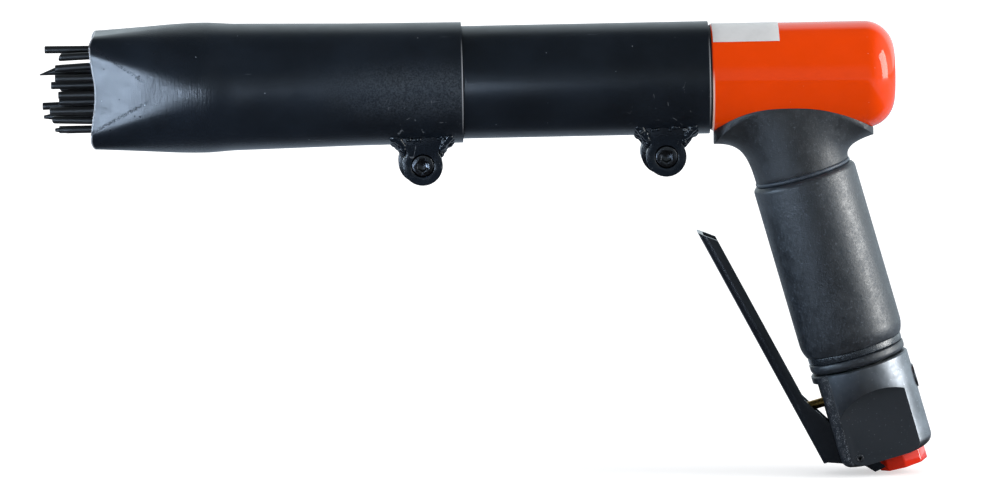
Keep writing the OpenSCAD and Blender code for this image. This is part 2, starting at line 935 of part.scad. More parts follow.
// A socket cap screw across the ears, with its head in the near ear
module clamp_screw(surface_r) {
    ear_face = split_w * half + ear_t;
    translate([-surface_r - ear_drop, -ear_face, 0])
        rotate([-90, 0, 0])
            difference() {
                union() {
                    cylinder(r = screw_d * half, h = 2 * ear_face);
                    cylinder(r = screw_head_d * half, h = screw_head_l);
                }
                translate([0, 0, -overrun])
                    cylinder(r = hex_r(screw_socket), h = screw_head_l * half + overrun, $fn = 6);
            }
}

module rear_tube() {
    color("#23262c")
    barrel_frame()
    difference() {
        union() {
            rod(tube_r, tube_back, tube_front);
            translate([0, 0, tube_back + rear_ear_back])
                clamp_ears(tube_r);
        }
        rod(tube_bore_r, tube_back - overrun, tube_front + overrun);
        translate([0, 0, tube_back + rear_ear_back])
            clamp_cuts(tube_r, rear_ear_back);
    }
}

module rear_clamp_screw() {
    color("#17181b")
    barrel_frame()
        translate([0, 0, tube_back + rear_ear_back])
            clamp_screw(tube_r);
}

// The round part of the front tube, or the space inside it, grown past its ends by a lap
module front_round(inset, lap) {
    rotate_extrude()
        polygon([
            [0, front_back - lap], [front_back_r - inset, front_back - lap],
            [front_back_r - inset, front_back], [front_r - inset, bulge_start],
            [bulge_r - inset, nozzle_start - nozzle_lap], [bulge_r - inset, nozzle_start], [0, nozzle_start]]);
}

// The pressed nozzle, or the space inside it: round at the back, a round-cornered mouth at the front
module nozzle(inset, lap) {
    corner = nozzle_corner - inset;
    hull($fn = 32) {
        translate([0, 0, nozzle_start - nozzle_lap])
            cylinder(r = bulge_r - inset - nozzle_step, h = nozzle_lap, $fn = 48);
        for (up = [-1, 1])
            for (side = [-1, 1])
                translate([up * (nozzle_h * half - nozzle_corner), side * (nozzle_w * half - nozzle_corner), 0])
                    translate([0, 0, front_end - nozzle_lap])
                        cylinder(r = corner, h = nozzle_lap + lap, $fn = 32);
    }
}

module front_tube() {
    ear_at = front_back + front_ear_back;
    color("#20242b")
    barrel_frame()
    difference() {
        union() {
            front_round(0, 0);
            nozzle(0, 0);
            translate([0, 0, ear_at])
                clamp_ears(front_back_r);
        }
        front_round(front_wall, overrun);
        nozzle(front_wall, overrun);
        translate([0, 0, ear_at])
            clamp_cuts(front_back_r, front_ear_back);
        translate([0, 0, front_end - nozzle_hollow + hollow_r])
            cross_rod(hollow_r, nozzle_w + tube_d);
    }
}

module front_clamp_screw() {
    color("#17181b")
    barrel_frame()
        translate([0, 0, front_back + front_ear_back])
            clamp_screw(front_back_r);
}

rear_housing();
saddle();
handle_core();
grip_sleeve();
grip_collar();
valve_body();
inlet_bush();
lever_pin();
throttle_lever();
valve_stem();
valve_seat();
stem_seal();
valve_spring();
valve_plug();
rear_buffer();
valve_chest();
cylinder_node();  // cylinder
front_bush();
piston();
anvil();
needle_holder();
needles();
return_spring();
spring_stop();
rear_tube();
rear_clamp_screw();
front_tube();
front_clamp_screw();
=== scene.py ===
import json
import math
import random

import bmesh
import bpy
from mathutils import Matrix, Vector


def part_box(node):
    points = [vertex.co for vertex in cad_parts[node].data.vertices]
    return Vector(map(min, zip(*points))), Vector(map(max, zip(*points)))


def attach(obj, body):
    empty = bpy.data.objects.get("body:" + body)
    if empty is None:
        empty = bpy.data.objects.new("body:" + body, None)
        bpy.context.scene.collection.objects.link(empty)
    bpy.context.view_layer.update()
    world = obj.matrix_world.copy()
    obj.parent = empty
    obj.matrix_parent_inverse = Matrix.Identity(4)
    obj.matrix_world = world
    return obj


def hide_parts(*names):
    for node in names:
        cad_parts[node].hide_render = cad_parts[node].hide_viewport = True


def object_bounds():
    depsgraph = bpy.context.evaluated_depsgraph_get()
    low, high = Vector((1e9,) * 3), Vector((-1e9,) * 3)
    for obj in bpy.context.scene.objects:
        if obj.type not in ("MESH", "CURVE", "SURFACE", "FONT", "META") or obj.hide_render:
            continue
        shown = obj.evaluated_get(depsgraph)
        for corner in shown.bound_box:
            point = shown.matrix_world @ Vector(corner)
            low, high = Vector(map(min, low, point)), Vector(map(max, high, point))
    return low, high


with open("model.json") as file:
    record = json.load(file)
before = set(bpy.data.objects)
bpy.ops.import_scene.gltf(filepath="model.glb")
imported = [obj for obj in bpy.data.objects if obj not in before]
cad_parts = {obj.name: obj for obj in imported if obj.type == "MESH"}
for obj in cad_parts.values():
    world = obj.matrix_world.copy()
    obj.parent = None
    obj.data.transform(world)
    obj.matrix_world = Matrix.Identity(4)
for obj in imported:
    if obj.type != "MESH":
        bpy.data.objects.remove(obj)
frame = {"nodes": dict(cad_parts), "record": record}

bl_info = {
    "name": "Needle scaler",
    "version": (1, 0, 0),
    "blender": (4, 5, 0),
    "location": "View3D > Sidebar > Needle scaler",
    "description": "Models and finishes the pieces of an air needle scaler round its packed frame",
    "category": "Add Mesh",
}

# Places read from the frame
MM = 0.001
CAD_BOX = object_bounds()
ACROSS = Vector((0, 1, 0))
MOUNTS = {mount["name"]: mount for mount in frame["record"]["mounts"]}
HANDLE_UP = Vector(MOUNTS["hand_grip"]["axis"]).normalized()


def lathe_frame(origin, along):
    """A place whose z axis runs along a direction and whose y axis runs across the tool."""
    along = along.normalized()
    turn = Matrix((ACROSS.cross(along), ACROSS, along)).transposed()
    return Matrix.Translation(origin) @ turn.to_4x4()


def node_box(node, place):
    """Lowest and highest corner of a CAD node in a place of its own."""
    back = place.inverted()
    points = [back @ vertex.co for vertex in frame["nodes"][node].data.vertices]
    return tuple(Vector(pick(point[i] for point in points) for i in range(3)) for pick in (min, max))


CYLINDER_LOW, CYLINDER_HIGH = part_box("cylinder")
BARREL_Z = (CYLINDER_LOW.z + CYLINDER_HIGH.z) / 2
CROSSING = HANDLE_UP * (BARREL_Z / HANDLE_UP.z)
BARREL = lathe_frame(CROSSING, Vector((-1, 0, 0)))
HANDLE = lathe_frame(CROSSING, -HANDLE_UP)


# Sizes and colours that a user would change
def length(name, description, default):
    return bpy.props.FloatProperty(name=name, description=description, default=default,
                                   unit="LENGTH", precision=5)


def share(name, description, default):
    return bpy.props.FloatProperty(name=name, description=description, default=default,
                                   min=0, max=1, subtype="FACTOR")


def angle(name, description, degrees):
    return bpy.props.FloatProperty(name=name, description=description, default=math.radians(degrees),
                                   subtype="ANGLE")


def level(name, description, default):
    return bpy.props.FloatProperty(name=name, description=description, default=default, min=0)


def colour(name, description, default):
    return bpy.props.FloatVectorProperty(name=name, description=description, default=default,
                                         size=3, min=0, max=1, subtype="COLOR")


class ScalerSizes(bpy.types.PropertyGroup):
    """Sizes of the dressed pieces that the frame doesn't give"""
    housing_round: length("Housing end round", "Radius round the closed end of the housing", 12 * MM)
    housing_wall: length("Housing wall", "Wall of the housing at its front rim", 0.9 * MM)
    housing_rim: length("Housing rim round", "Radius round the housing's front rim", 0.5 * MM)
    label_length: length("Label length", "Length of the bare label along the barrel", 26.5 * MM)
    label_front: length("Label front", "Gap from the housing's front rim to the label", 0.6 * MM)
    label_turn: angle("Label turn", "Angle of the housing that the label covers", 88)
    tube_wall: length("Tube wall", "Wall of the barrel tubes", 2.0 * MM)
    mouth_wall: length("Mouth wall", "Wall of the front tube", 1.5 * MM)
    nozzle_length: length("Nozzle length", "Length over which the front tube turns square", 45 * MM)
    bulge_length: length("Bulge length", "Length over which the front tube bulges", 14 * MM)
    mouth_height: length("Mouth height", "Height of the nozzle's mouth", 45.2 * MM)
    mouth_width: length("Mouth width", "Width of the nozzle's mouth", 39.5 * MM)
    mouth_corner: length("Mouth corner", "Corner radius of the nozzle's mouth", 7.5 * MM)
    mouth_hollow: length("Mouth hollow", "Depth of the hollow in the mouth's side edges", 2.0 * MM)
    mouth_setback: length("Mouth setback", "How far the mouth's top and bottom edges lie back", 1.6 * MM)
    ear_radius: length("Ear radius", "Outer radius of a clamp ear", 8 * MM)
    ear_thickness: length("Ear thickness", "Thickness of a clamp ear", 11 * MM)
    ear_flare: length("Ear flare", "How far an ear's web flares at the tube on each side", 2.6 * MM)
    split_width: length("Split width", "Width of the split in a clamped tube end", 3 * MM)
    split_length: length("Split length", "Length of the split in a clamped tube end", 36 * MM)
    bead_radius: length("Neck bead radius", "Radius of the bead between the saddle and the grip", 0.8 * MM)
    needle_diameter: length("Needle diameter", "Thickness of a needle", 3 * MM)


class ScalerColours(bpy.types.PropertyGroup):
    """Colours of the finishes"""
    red: colour("Housing red", "Gloss orange-red of the housing", (0.87, 0.060, 0.001))
    inlet: colour("Inlet red", "Gloss red of the inlet bush", (0.76, 0.030, 0.010))
    label: colour("Label", "Bare label plate", (0.70, 0.71, 0.72))
    tube: colour("Tube blue-black", "Satin paint of the barrel tubes", (0.0062, 0.0098, 0.0155))
    saddle: colour("Saddle grey", "Moulded saddle", (0.018, 0.022, 0.027))
    rubber: colour("Grip rubber", "Rubber of the grip sleeve", (0.0155, 0.021, 0.0285))
    casting: colour("Valve casting", "Dark satin of the valve body", (0.21, 0.225, 0.245))
    lever: colour("Lever black", "Satin black of the throttle lever", (0.010, 0.013, 0.018))
    dark_steel: colour("Dark steel", "Blackened steel", (0.085, 0.089, 0.097))
    bright_steel: colour("Bright steel", "Ground steel", (0.55, 0.56, 0.58))
    needle: colour("Needle steel", "Dark drawn steel", (0.0095, 0.0095, 0.0098))
    brass: colour("Brass", "Turned brass", (0.42, 0.27, 0.085))
    aluminium: colour("Aluminium", "Turned aluminium", (0.70, 0.71, 0.73))
    seal: colour("Seal rubber", "Black seal rubber", (0.012, 0.012, 0.013))


def sizes():
    return bpy.context.scene.scaler_sizes


def tints():
    return bpy.context.scene.scaler_colours


# Distance under which two vertices are one
DOUBLES = 0.002 * MM


# Hand tools on the selected piece
def clear_selection():
    if bpy.context.mode != "OBJECT":
        bpy.ops.object.mode_set(mode="OBJECT")
    bpy.ops.object.select_all(action="DESELECT")


def choose(*pieces):
    clear_selection()
    for piece in pieces:
        piece.select_set(True)
    bpy.context.view_layer.objects.active = pieces[0]


def open_edit(piece):
    choose(piece)
    bpy.ops.object.mode_set(mode="EDIT")
    bpy.ops.mesh.select_all(action="SELECT")


def close_edit():
    bpy.ops.object.mode_set(mode="OBJECT")


def call_it(name):
    """Names the piece that was just added and puts its place into its mesh."""
    piece = bpy.context.object
    piece.name = piece.data.name = name
    bpy.ops.object.transform_apply(location=True, rotation=True, scale=True)
    return piece


def select_where(piece, test):
    """Selects the vertices of a piece in edit mode that pass a test."""
    mesh = bmesh.from_edit_mesh(piece.data)
    for face in mesh.faces:
        face.select = False
    for edge in mesh.edges:
        edge.select = False
    for vertex in mesh.verts:
        vertex.select = bool(test(vertex.co))
    mesh.select_flush(True)
    bmesh.update_edit_mesh(piece.data)


def put_at(piece, place):
    piece.matrix_world = place
    choose(piece)
    bpy.ops.object.transform_apply(location=True, rotation=True, scale=True)


def apply_modifier(piece, kind, **values):
    choose(piece)
    modifier = piece.modifiers.new(kind.lower(), kind)
    for name, value in values.items():
        setattr(modifier, name, value)
    bpy.ops.object.modifier_apply(modifier=modifier.name)


def ease_edges(piece, width, steps=3, angle=38):
    """Rounds the sharp edges of a piece."""
    apply_modifier(piece, "BEVEL", width=width, segments=steps, limit_method="ANGLE",
                   angle_limit=math.radians(angle), miter_outer="MITER_ARC")


def smooth(piece, angle=40):
    choose(piece)
    bpy.ops.object.shade_smooth_by_angle(angle=math.radians(angle))


def tidy_skin(piece):
    """Merges doubles and turns the faces outwards."""
    open_edit(piece)
    bpy.ops.mesh.remove_doubles(threshold=DOUBLES)
    bpy.ops.mesh.normals_make_consistent(inside=False)
    close_edit()


def cut(piece, cutter, operation="DIFFERENCE"):
    apply_modifier(piece, "BOOLEAN", object=cutter, operation=operation, solver="EXACT")
    bpy.data.objects.remove(cutter)


def join(name, pieces):
    choose(*pieces)
    bpy.ops.object.join()
    piece = bpy.context.object
    piece.name = piece.data.name = name
    return piece


def turned(name, profile, place, sides=96, ring=False):
    """Draws one ring out along a profile of (along, radius) pairs, as on a lathe."""
    clear_selection()
    start, radius = profile[0]
    bpy.ops.mesh.primitive_circle_add(vertices=sides, radius=radius, location=(0, 0, start))
    piece = call_it(name)
    open_edit(piece)
    for (here, old), (there, new) in zip(profile, profile[1:]):
        bpy.ops.mesh.extrude_region_move(TRANSFORM_OT_translate={"value": (0, 0, there - here)})
        if new == 0:
            bpy.ops.mesh.merge(type="CENTER")
        elif new != old:
            bpy.ops.transform.resize(value=(new / old, new / old, 1), center_override=(0, 0, there))
    if not ring:
        slack = 0.001 * MM
        select_where(piece, lambda co: abs(co.z - start) < slack and abs(co.xy.length - radius) < slack)
        bpy.ops.mesh.edge_face_add()
    close_edit()
    tidy_skin(piece)
    put_at(piece, place)
    return piece


def arc(along, radius, round_radius, start, end, steps=10):
    """Profile points round an arc: along and radius of its middle, and its angles in degrees."""
    turns = [math.radians(start + (end - start) * i / steps) for i in range(steps + 1)]
    return [(along + round_radius * math.sin(t), radius + round_radius * math.cos(t)) for t in turns]


def plate(name, outline, low, high):
    """A flat plate from an outline of (up, forward) points in the barrel's place, between two y values."""
    clear_selection()
    bpy.ops.mesh.primitive_circle_add(vertices=len(outline), radius=1, fill_type="NGON")
    piece = call_it(name)
    for vertex, (up, forward) in zip(piece.data.vertices, outline):
        vertex.co = (up, low, forward)
    open_edit(piece)
    bpy.ops.mesh.extrude_region_move(TRANSFORM_OT_translate={"value": (0, high - low, 0)})
    close_edit()
    tidy_skin(piece)
    return piece


def rod(name, radius, start, end, place, sides=64):
    """A plain cutter along the z axis of a place."""
    clear_selection()
    bpy.ops.mesh.primitive_cylinder_add(vertices=sides, radius=radius, depth=end - start,
                                        location=(0, 0, (start + end) / 2))
    piece = call_it(name)
    put_at(piece, place)
    return piece


def traced(node, name):
    """A copy of a CAD node's mesh with its loose triangles merged into one skin."""
    clear_selection()
    piece = bpy.data.objects.new(name, frame["nodes"][node].data.copy())
    piece.data.name = name
    bpy.context.scene.collection.objects.link(piece)
    piece.data.materials.clear()
    open_edit(piece)
    bpy.ops.mesh.remove_doubles(threshold=DOUBLES)
    bpy.ops.mesh.dissolve_limited(angle_limit=math.radians(0.6))
    close_edit()
    if piece.data.has_custom_normals:
        bpy.ops.mesh.customdata_custom_splitnormals_clear()
    return piece


def store_rim_glint_and_wear(piece, amount):
    """Stores at each vertex of a piece, from its place, how far its rim is painted pale, mostly as a painted
    glint.
    """
    wear = piece.data.attributes.new("rim_glint_and_wear", "FLOAT", "POINT")
    for vertex, value in zip(piece.data.vertices, wear.data):
        value.value = max(0.0, min(1.0, amount(vertex.co)))


def settle(piece, body, slot, *nodes, look=None):
    """Gives a piece its body, the CAD nodes it stands for and a finish: its slot's, where none is named."""
    piece.data.materials.clear()
    piece.data.materials.append(finish(look or slot))
    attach(piece, body)
    if nodes:
        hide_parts(*nodes)
    return piece


def dressed(node, name, edge, body, slot, look=None):
    """A piece with its CAD node's own shape, eased edges and a finish."""
    piece = traced(node, name)
    ease_edges(piece, edge, 3, 40)
    smooth(piece)
    return settle(piece, body, slot, node, look=look)


# Finishes
class NodeMaker:
    """Adds nodes to a shader tree and links them."""

    def __init__(self, tree):
        self.tree = tree

    def feed(self, socket, value):
        if isinstance(value, bpy.types.NodeSocket):
            self.tree.links.new(value, socket)
        else:
            socket.default_value = value

    def add(self, kind, inputs=None, **attributes):
        node = self.tree.nodes.new(kind)
        for name, value in attributes.items():
            setattr(node, name, value)
        for name, value in (inputs or {}).items():
            self.feed(node.inputs[name], value)
        return node

    def math(self, operation, first, second):
        return self.add("ShaderNodeMath", {0: first, 1: second}, operation=operation).outputs[0]

    def times(self, first, second):
        return self.math("MULTIPLY", first, second)

    def apart(self, first, second):
        """How far two values lie apart."""
        return self.math("ABSOLUTE", self.math("SUBTRACT", first, second), 0)

    def span(self, value, low, high, start=0.0, end=1.0):
        """Runs smoothly from start to end while a value runs from low to high."""
        node = self.add("ShaderNodeMapRange", {"Value": value, "From Min": low, "From Max": high,
                                               "To Min": start, "To Max": end},
                        interpolation_type="SMOOTHSTEP")
        return node.outputs["Result"]

    def axes(self, vector):
        return self.add("ShaderNodeSeparateXYZ", {0: vector}).outputs


class Painter(NodeMaker):
    """Builds one procedural finish on object coordinates."""

    def __init__(self, name, colour, roughness, **sockets):
        self.finish = bpy.data.materials.new(name)
        self.finish.use_nodes = True
        super().__init__(self.finish.node_tree)
        self.shader = self.tree.nodes["Principled BSDF"]
        self.colour = (*colour, 1)
        self.set("Base Color", self.colour)
        self.set("Roughness", roughness)
        for socket, value in sockets.items():
            self.set(socket.replace("_", " ").title().replace("Ior", "IOR"), value)
        self.coordinates = self.add("ShaderNodeTexCoord").outputs["Object"]
        self.normal = None

    def set(self, socket, value):
        self.feed(self.shader.inputs[socket], value)

    def axis(self, letter):
        return self.axes(self.coordinates)[letter]

    def attribute(self, name):
        return self.add("ShaderNodeAttribute", attribute_name=name).outputs["Fac"]

    def moved(self, stretch, turn=(0, 0, 0)):
        """Object coordinates, stretched and turned."""
        return self.add("ShaderNodeMapping", {"Vector": self.coordinates, "Rotation": turn,
                                              "Scale": stretch}).outputs["Vector"]

    def noise(self, size, detail=4, harsh=0.55, stretch=None):
        vector = self.moved(stretch) if stretch else self.coordinates
        node = self.add("ShaderNodeTexNoise", {"Vector": vector, "Scale": 1 / size,
                                               "Detail": detail, "Roughness": harsh})
        return node.outputs["Fac"]

    def tint(self, factor, under, over):
        node = self.add("ShaderNodeMix", data_type="RGBA")
        colours = [socket for socket in node.inputs if socket.type == "RGBA"]
        self.feed(node.inputs[0], factor)
        self.feed(colours[0], under)
        self.feed(colours[1], over)
        return next(socket for socket in node.outputs if socket.type == "RGBA")

    def specks(self, size, width, chance):
        """Scattered dots: cells of a size, dots of a width, and the share of the cells that has one."""
        cells = self.add("ShaderNodeTexVoronoi", {"Vector": self.coordinates, "Scale": 1 / size}).outputs
        dots = self.span(cells["Distance"], width, width * 0.55)
        chosen = self.add("ShaderNodeSeparateColor", {0: cells["Color"]}).outputs[0]
        return self.times(dots, self.math("LESS_THAN", chosen, chance))

    def bump(self, height, depth, strength=1.0):
        inputs = {"Height": height, "Distance": depth, "Strength": strength}
        if self.normal:
            inputs["Normal"] = self.normal
        self.normal = self.add("ShaderNodeBump", inputs).outputs["Normal"]

    def done(self):
        if self.normal:
            self.set("Normal", self.normal)
        return self.finish


def scaled(colour, amount):
    return tuple(value * amount for value in colour)


def toned(colour, amount):
    """A colour made darker or lighter, as a socket takes it."""
    return (*scaled(colour, amount), 1)


def gloss_red(name, colour, shine=0.45):
    """Gloss paint with a slight orange peel, a few scuffs and a painted pale reflection along the rim's lower
    half.
    """
    scuff_pink, painted_rim_pink = (0.95, 0.55, 0.42, 1), (0.95, 0.66, 0.58, 1)
    paint = Painter(name, colour, 0.08, specular_ior_level=shine)
    drift = paint.span(paint.noise(18 * MM, 3), 0.3, 0.7)
    shade = paint.tint(drift, toned(colour, 0.97), toned(colour, 1.02))
    scuffs = paint.specks(2.6 * MM, 0.10, 0.06)
    shade = paint.tint(paint.times(scuffs, 0.35), shade, scuff_pink)
    lower = paint.span(paint.axis("Z"), BARREL_Z + 6 * MM, BARREL_Z - 2 * MM)
    # Painted pale reflection along the lower half of the rim
    sheen_and_rub = paint.times(paint.attribute("rim_glint_and_wear"), lower)
    paint.set("Base Color", paint.tint(sheen_and_rub, shade, painted_rim_pink))
    paint.set("Roughness", paint.span(paint.noise(5 * MM, 5), 0.3, 0.75, 0.05, 0.10))
    paint.bump(paint.noise(1.3 * MM, 2), 0.006 * MM, 0.3)
    return paint.done()


def tube_coat(name, colour, gloss=0.0):
    """Satin blue-black paint with dust, scratches, cracks near the clamps and rims painted pale towards the
    steel, which at the rear rims is a painted glint.
    """
    dust_grey, scratch_grey = (0.36, 0.40, 0.45, 1), (0.30, 0.33, 0.38, 1)
    crack_grey, glint_and_bare_steel = (0.42, 0.46, 0.50, 1), (0.60, 0.62, 0.66, 1)
    paint = Painter(name, colour, 0.3, specular_ior_level=0.42)
    drift = paint.span(paint.noise(22 * MM, 4), 0.3, 0.7)
    shade = paint.tint(drift, toned(colour, 0.8), toned(colour, 1.25))
    dust = paint.specks(3.4 * MM, 0.075, 0.16)
    shade = paint.tint(paint.times(dust, 0.55), shade, dust_grey)
    lines = paint.span(paint.noise(1.1 * MM, 3, 0.6, LONG_STREAK), 0.69, 0.74)
    scratches = paint.times(lines, paint.span(paint.noise(16 * MM, 3), 0.52, 0.66))
    shade = paint.tint(paint.times(scratches, 0.22), shade, scratch_grey)
    cells = paint.add("ShaderNodeTexVoronoi", {"Vector": paint.moved((1, 1, 0.55), (0.4, 0.7, 0.3)),
                                               "Scale": 1 / (8 * MM)}, feature="DISTANCE_TO_EDGE")
    cracks = paint.times(paint.span(cells.outputs["Distance"], 0.018, 0.004),
                         paint.span(paint.noise(3 * MM, 3), 0.56, 0.62))
    lower = paint.span(paint.axis("Z"), BARREL_Z + 4 * MM, BARREL_Z - 6 * MM)
    for node in ("front_clamp_screw", "rear_clamp_screw"):
        low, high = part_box(node)
        off = paint.apart(paint.axis("X"), (low.x + high.x) / 2)
        near = paint.times(paint.span(off, 18 * MM, 9 * MM), lower)
        shade = paint.tint(paint.times(paint.times(cracks, near), 0.22), shade, crack_grey)
    # Rims painted pale towards bare steel; at the rear rims this is a painted glint
    sheen_and_rub = paint.times(paint.attribute("rim_glint_and_wear"), 0.9)
    paint.colour = paint.tint(sheen_and_rub, shade, glint_and_bare_steel)
    paint.set("Base Color", paint.colour)
    satin = paint.span(paint.noise(7 * MM, 2), 0.25, 0.75, 0.28, 0.34)
    ears = paint.span(paint.axis("Z"), BARREL_Z - 20 * MM, BARREL_Z - 24 * MM)
    satin = paint.math("SUBTRACT", satin, paint.times(ears, 0.12))
    paint.set("Roughness", paint.math("SUBTRACT", satin, gloss))
    paint.bump(paint.noise(0.9 * MM, 3), 0.018 * MM, 0.6)
    paint.bump(paint.noise(9 * MM, 2), 0.05 * MM, 0.2)
    return paint


def tube_paint(name, colour, gloss=0.0):
    """The tubes' coat with nothing added."""
    return tube_coat(name, colour, gloss).done()


def nozzle_paint(name, colour):
    """The tubes' coat with chips along the nozzle's creases, a brushed and grained flat and a scuffed side
    lightened at mid-height, partly as a painted sheen.
    """
    chip_black, sheen_and_scuff_grey = (0.016, 0.018, 0.024, 1), (0.28, 0.33, 0.38, 1)
    # Along and up of a point on each crease, its slope, and where along it the chips start and are full
    creases = ((-288.2, 61.6, 0.55, -268, -273), (-280.5, 85.0, -0.68, -271, -274))
    paint = tube_coat(name, colour)
    x, z = paint.axis("X"), paint.axis("Z")
    near_side = paint.span(paint.axis("Y"), -12 * MM, -16 * MM)
    pits = paint.times(paint.span(paint.noise(0.5 * MM, 3, 0.7), 0.45, 0.53),
                       paint.span(paint.noise(2.2 * MM, 3), 0.30, 0.46))
    chips = paint.times(paint.span(x, -262 * MM, -272 * MM), paint.specks(2.0 * MM, 0.26, 0.14))
    for along, up, slope, start, full in creases:
        rise = paint.times(paint.math("SUBTRACT", x, along * MM), slope)
        off = paint.apart(paint.math("SUBTRACT", z, up * MM), rise)
        line = paint.times(paint.span(off, 1.3 * MM, 0.3 * MM), paint.span(x, start * MM, full * MM))
        chips = paint.math("MAXIMUM", chips, paint.times(line, pits))
    chips = paint.times(chips, near_side)
    streaks = paint.noise(0.55 * MM, 4, 0.6, (1, 1, 0.05))
    brushed = paint.times(paint.span(x, -282 * MM, -266 * MM), paint.span(x, -238 * MM, -250 * MM))
    paint.bump(paint.times(streaks, brushed), 0.12 * MM, 0.9)
    grain = paint.times(paint.noise(0.6 * MM, 3, 0.6), paint.span(x, -252 * MM, -262 * MM))
    paint.bump(grain, 0.014 * MM, 0.7)
    # Scuff marks on the side, lightest at mid-height, where they are partly a painted sheen
    sheen_and_rub = paint.times(paint.span(x, -215 * MM, -165 * MM),
                         paint.span(paint.noise(0.7 * MM, 4, 0.65), 0.35, 0.7))
    off = paint.apart(z, BARREL_Z - 1 * MM)
    sheen_and_rub = paint.times(sheen_and_rub, paint.span(off, 15 * MM, 3 * MM, 0, 0.13))
    shade = paint.tint(sheen_and_rub, paint.colour, sheen_and_scuff_grey)
    paint.set("Base Color", paint.tint(chips, shade, chip_black))
    paint.set("Specular IOR Level", paint.span(chips, 0, 1, 0.46, 0.08))
    return paint.done()


def grained(name, colour, size, light, roughness, shine=0.6):
    """Matte moulding or rubber: a fine grain with lighter flecks and worn blotches."""
    paint = Painter(name, colour, roughness, specular_ior_level=shine)
    grain = paint.noise(size, 5, 0.7)
    drift = paint.span(paint.noise(14 * MM, 4), 0.25, 0.75)
    shade = paint.tint(drift, toned(colour, 0.82), toned(colour, 1.22))
    blotches = paint.noise(4.5 * MM, 5, 0.7)
    shade = paint.tint(paint.span(blotches, 0.46, 0.72, 0, 0.6), shade, toned(colour, 2.0))
    flecks = paint.span(grain, 0.56, 0.68)
    paint.set("Base Color", paint.tint(paint.times(flecks, 0.65), shade, toned(colour, light)))
    worn = paint.span(blotches, 0.36, 0.64, -0.07, 0.07)
    dull = paint.span(grain, 0.3, 0.7, roughness - 0.10, roughness + 0.10)
    paint.set("Roughness", paint.math("ADD", worn, dull))
    paint.bump(grain, 0.09 * MM, 0.9)
    paint.bump(paint.noise(size * 3.4, 3), 0.12 * MM, 0.6)
    return paint.done()


def worked_metal(name, colour, roughness, metal, streak):
    """Steel, brass or aluminium with the marks of turning or drawing."""
    paint = Painter(name, colour, roughness, metallic=metal)
    marks = paint.noise(0.7 * MM, 4, 0.6, streak)
    shade = paint.tint(paint.span(marks, 0.3, 0.7), toned(colour, 0.78), toned(colour, 1.2))
    stains = paint.span(paint.noise(6 * MM, 5), 0.55, 0.75)
    paint.set("Base Color", paint.tint(paint.times(stains, 0.35), shade, toned(colour, 0.55)))
    paint.set("Roughness", paint.span(marks, 0.2, 0.8, roughness - 0.07, roughness + 0.09))
    paint.bump(marks, 0.008 * MM, 0.6)
    return paint.done()


def valve_casting(name, colour):
    """Satin machined casting with fine pits; its milled flats are dark and its front is rough as cast."""
    fleck_grey, flat_grey, flat_fleck = (0.62, 0.66, 0.72, 1), (0.024, 0.031, 0.041, 1), (0.20, 0.23, 0.26, 1)
    cast_grey, cast_grain = (0.016, 0.020, 0.027, 1), (0.38, 0.41, 0.45, 1)
    paint = Painter(name, colour, 0.34, metallic=1.0)
    ahead = HANDLE.col[0].xyz
    front = CROSSING.dot(ahead) + node_box("valve_body", HANDLE)[1].y
    forward = paint.add("ShaderNodeVectorMath", {0: paint.coordinates, 1: ahead}, operation="DOT_PRODUCT")
    forward = paint.math("SUBTRACT", forward.outputs["Value"], front)
    cast = paint.span(forward, -6.4 * MM, -5.6 * MM)
    grains = paint.times(paint.span(paint.noise(0.5 * MM, 3, 0.7), 0.52, 0.64),
                         paint.span(forward, -1.5 * MM, -3.2 * MM))
    grains = paint.times(grains, paint.span(paint.noise(2.5 * MM, 3), 0.38, 0.62, 0.15, 1))
    drift = paint.span(paint.noise(9 * MM, 5), 0.3, 0.7)
    shade = paint.tint(drift, toned(colour, 0.8), toned(colour, 1.25))
    flecks = paint.specks(1.1 * MM, 0.22, 0.3)
    shade = paint.tint(paint.times(flecks, 0.4), shade, fleck_grey)
    flat = paint.attribute("milled")
    dark = paint.tint(paint.times(flecks, 0.3), flat_grey, flat_fleck)
    rough = paint.tint(paint.times(grains, 0.85), cast_grey, cast_grain)
    paint.set("Base Color", paint.tint(cast, paint.tint(flat, shade, dark), rough))
    paint.set("Metallic", paint.span(paint.math("MAXIMUM", flat, cast), 0, 1, 1, 0))
    paint.set("Roughness", paint.span(paint.noise(1.2 * MM, 5), 0.25, 0.75, 0.34, 0.48))
    paint.bump(paint.noise(0.5 * MM, 4), 0.012 * MM, 0.6)
    return paint.done()


def bare_label(name, colour):
    """Plain label film with faint handling marks."""
    paint = Painter(name, colour, 0.38)
    drift = paint.span(paint.noise(5 * MM, 5), 0.35, 0.75)
    paint.set("Base Color", paint.tint(drift, toned(colour, 1.0), toned(colour, 0.93)))
    paint.set("Roughness", paint.span(paint.noise(2 * MM, 4), 0.3, 0.7, 0.32, 0.46))
    paint.bump(paint.noise(1.2 * MM, 3), 0.008 * MM, 0.5)
    return paint.done()


LONG_STREAK = (0.05, 1, 1)
EVEN = (1, 1, 1)
FINISHES = {}


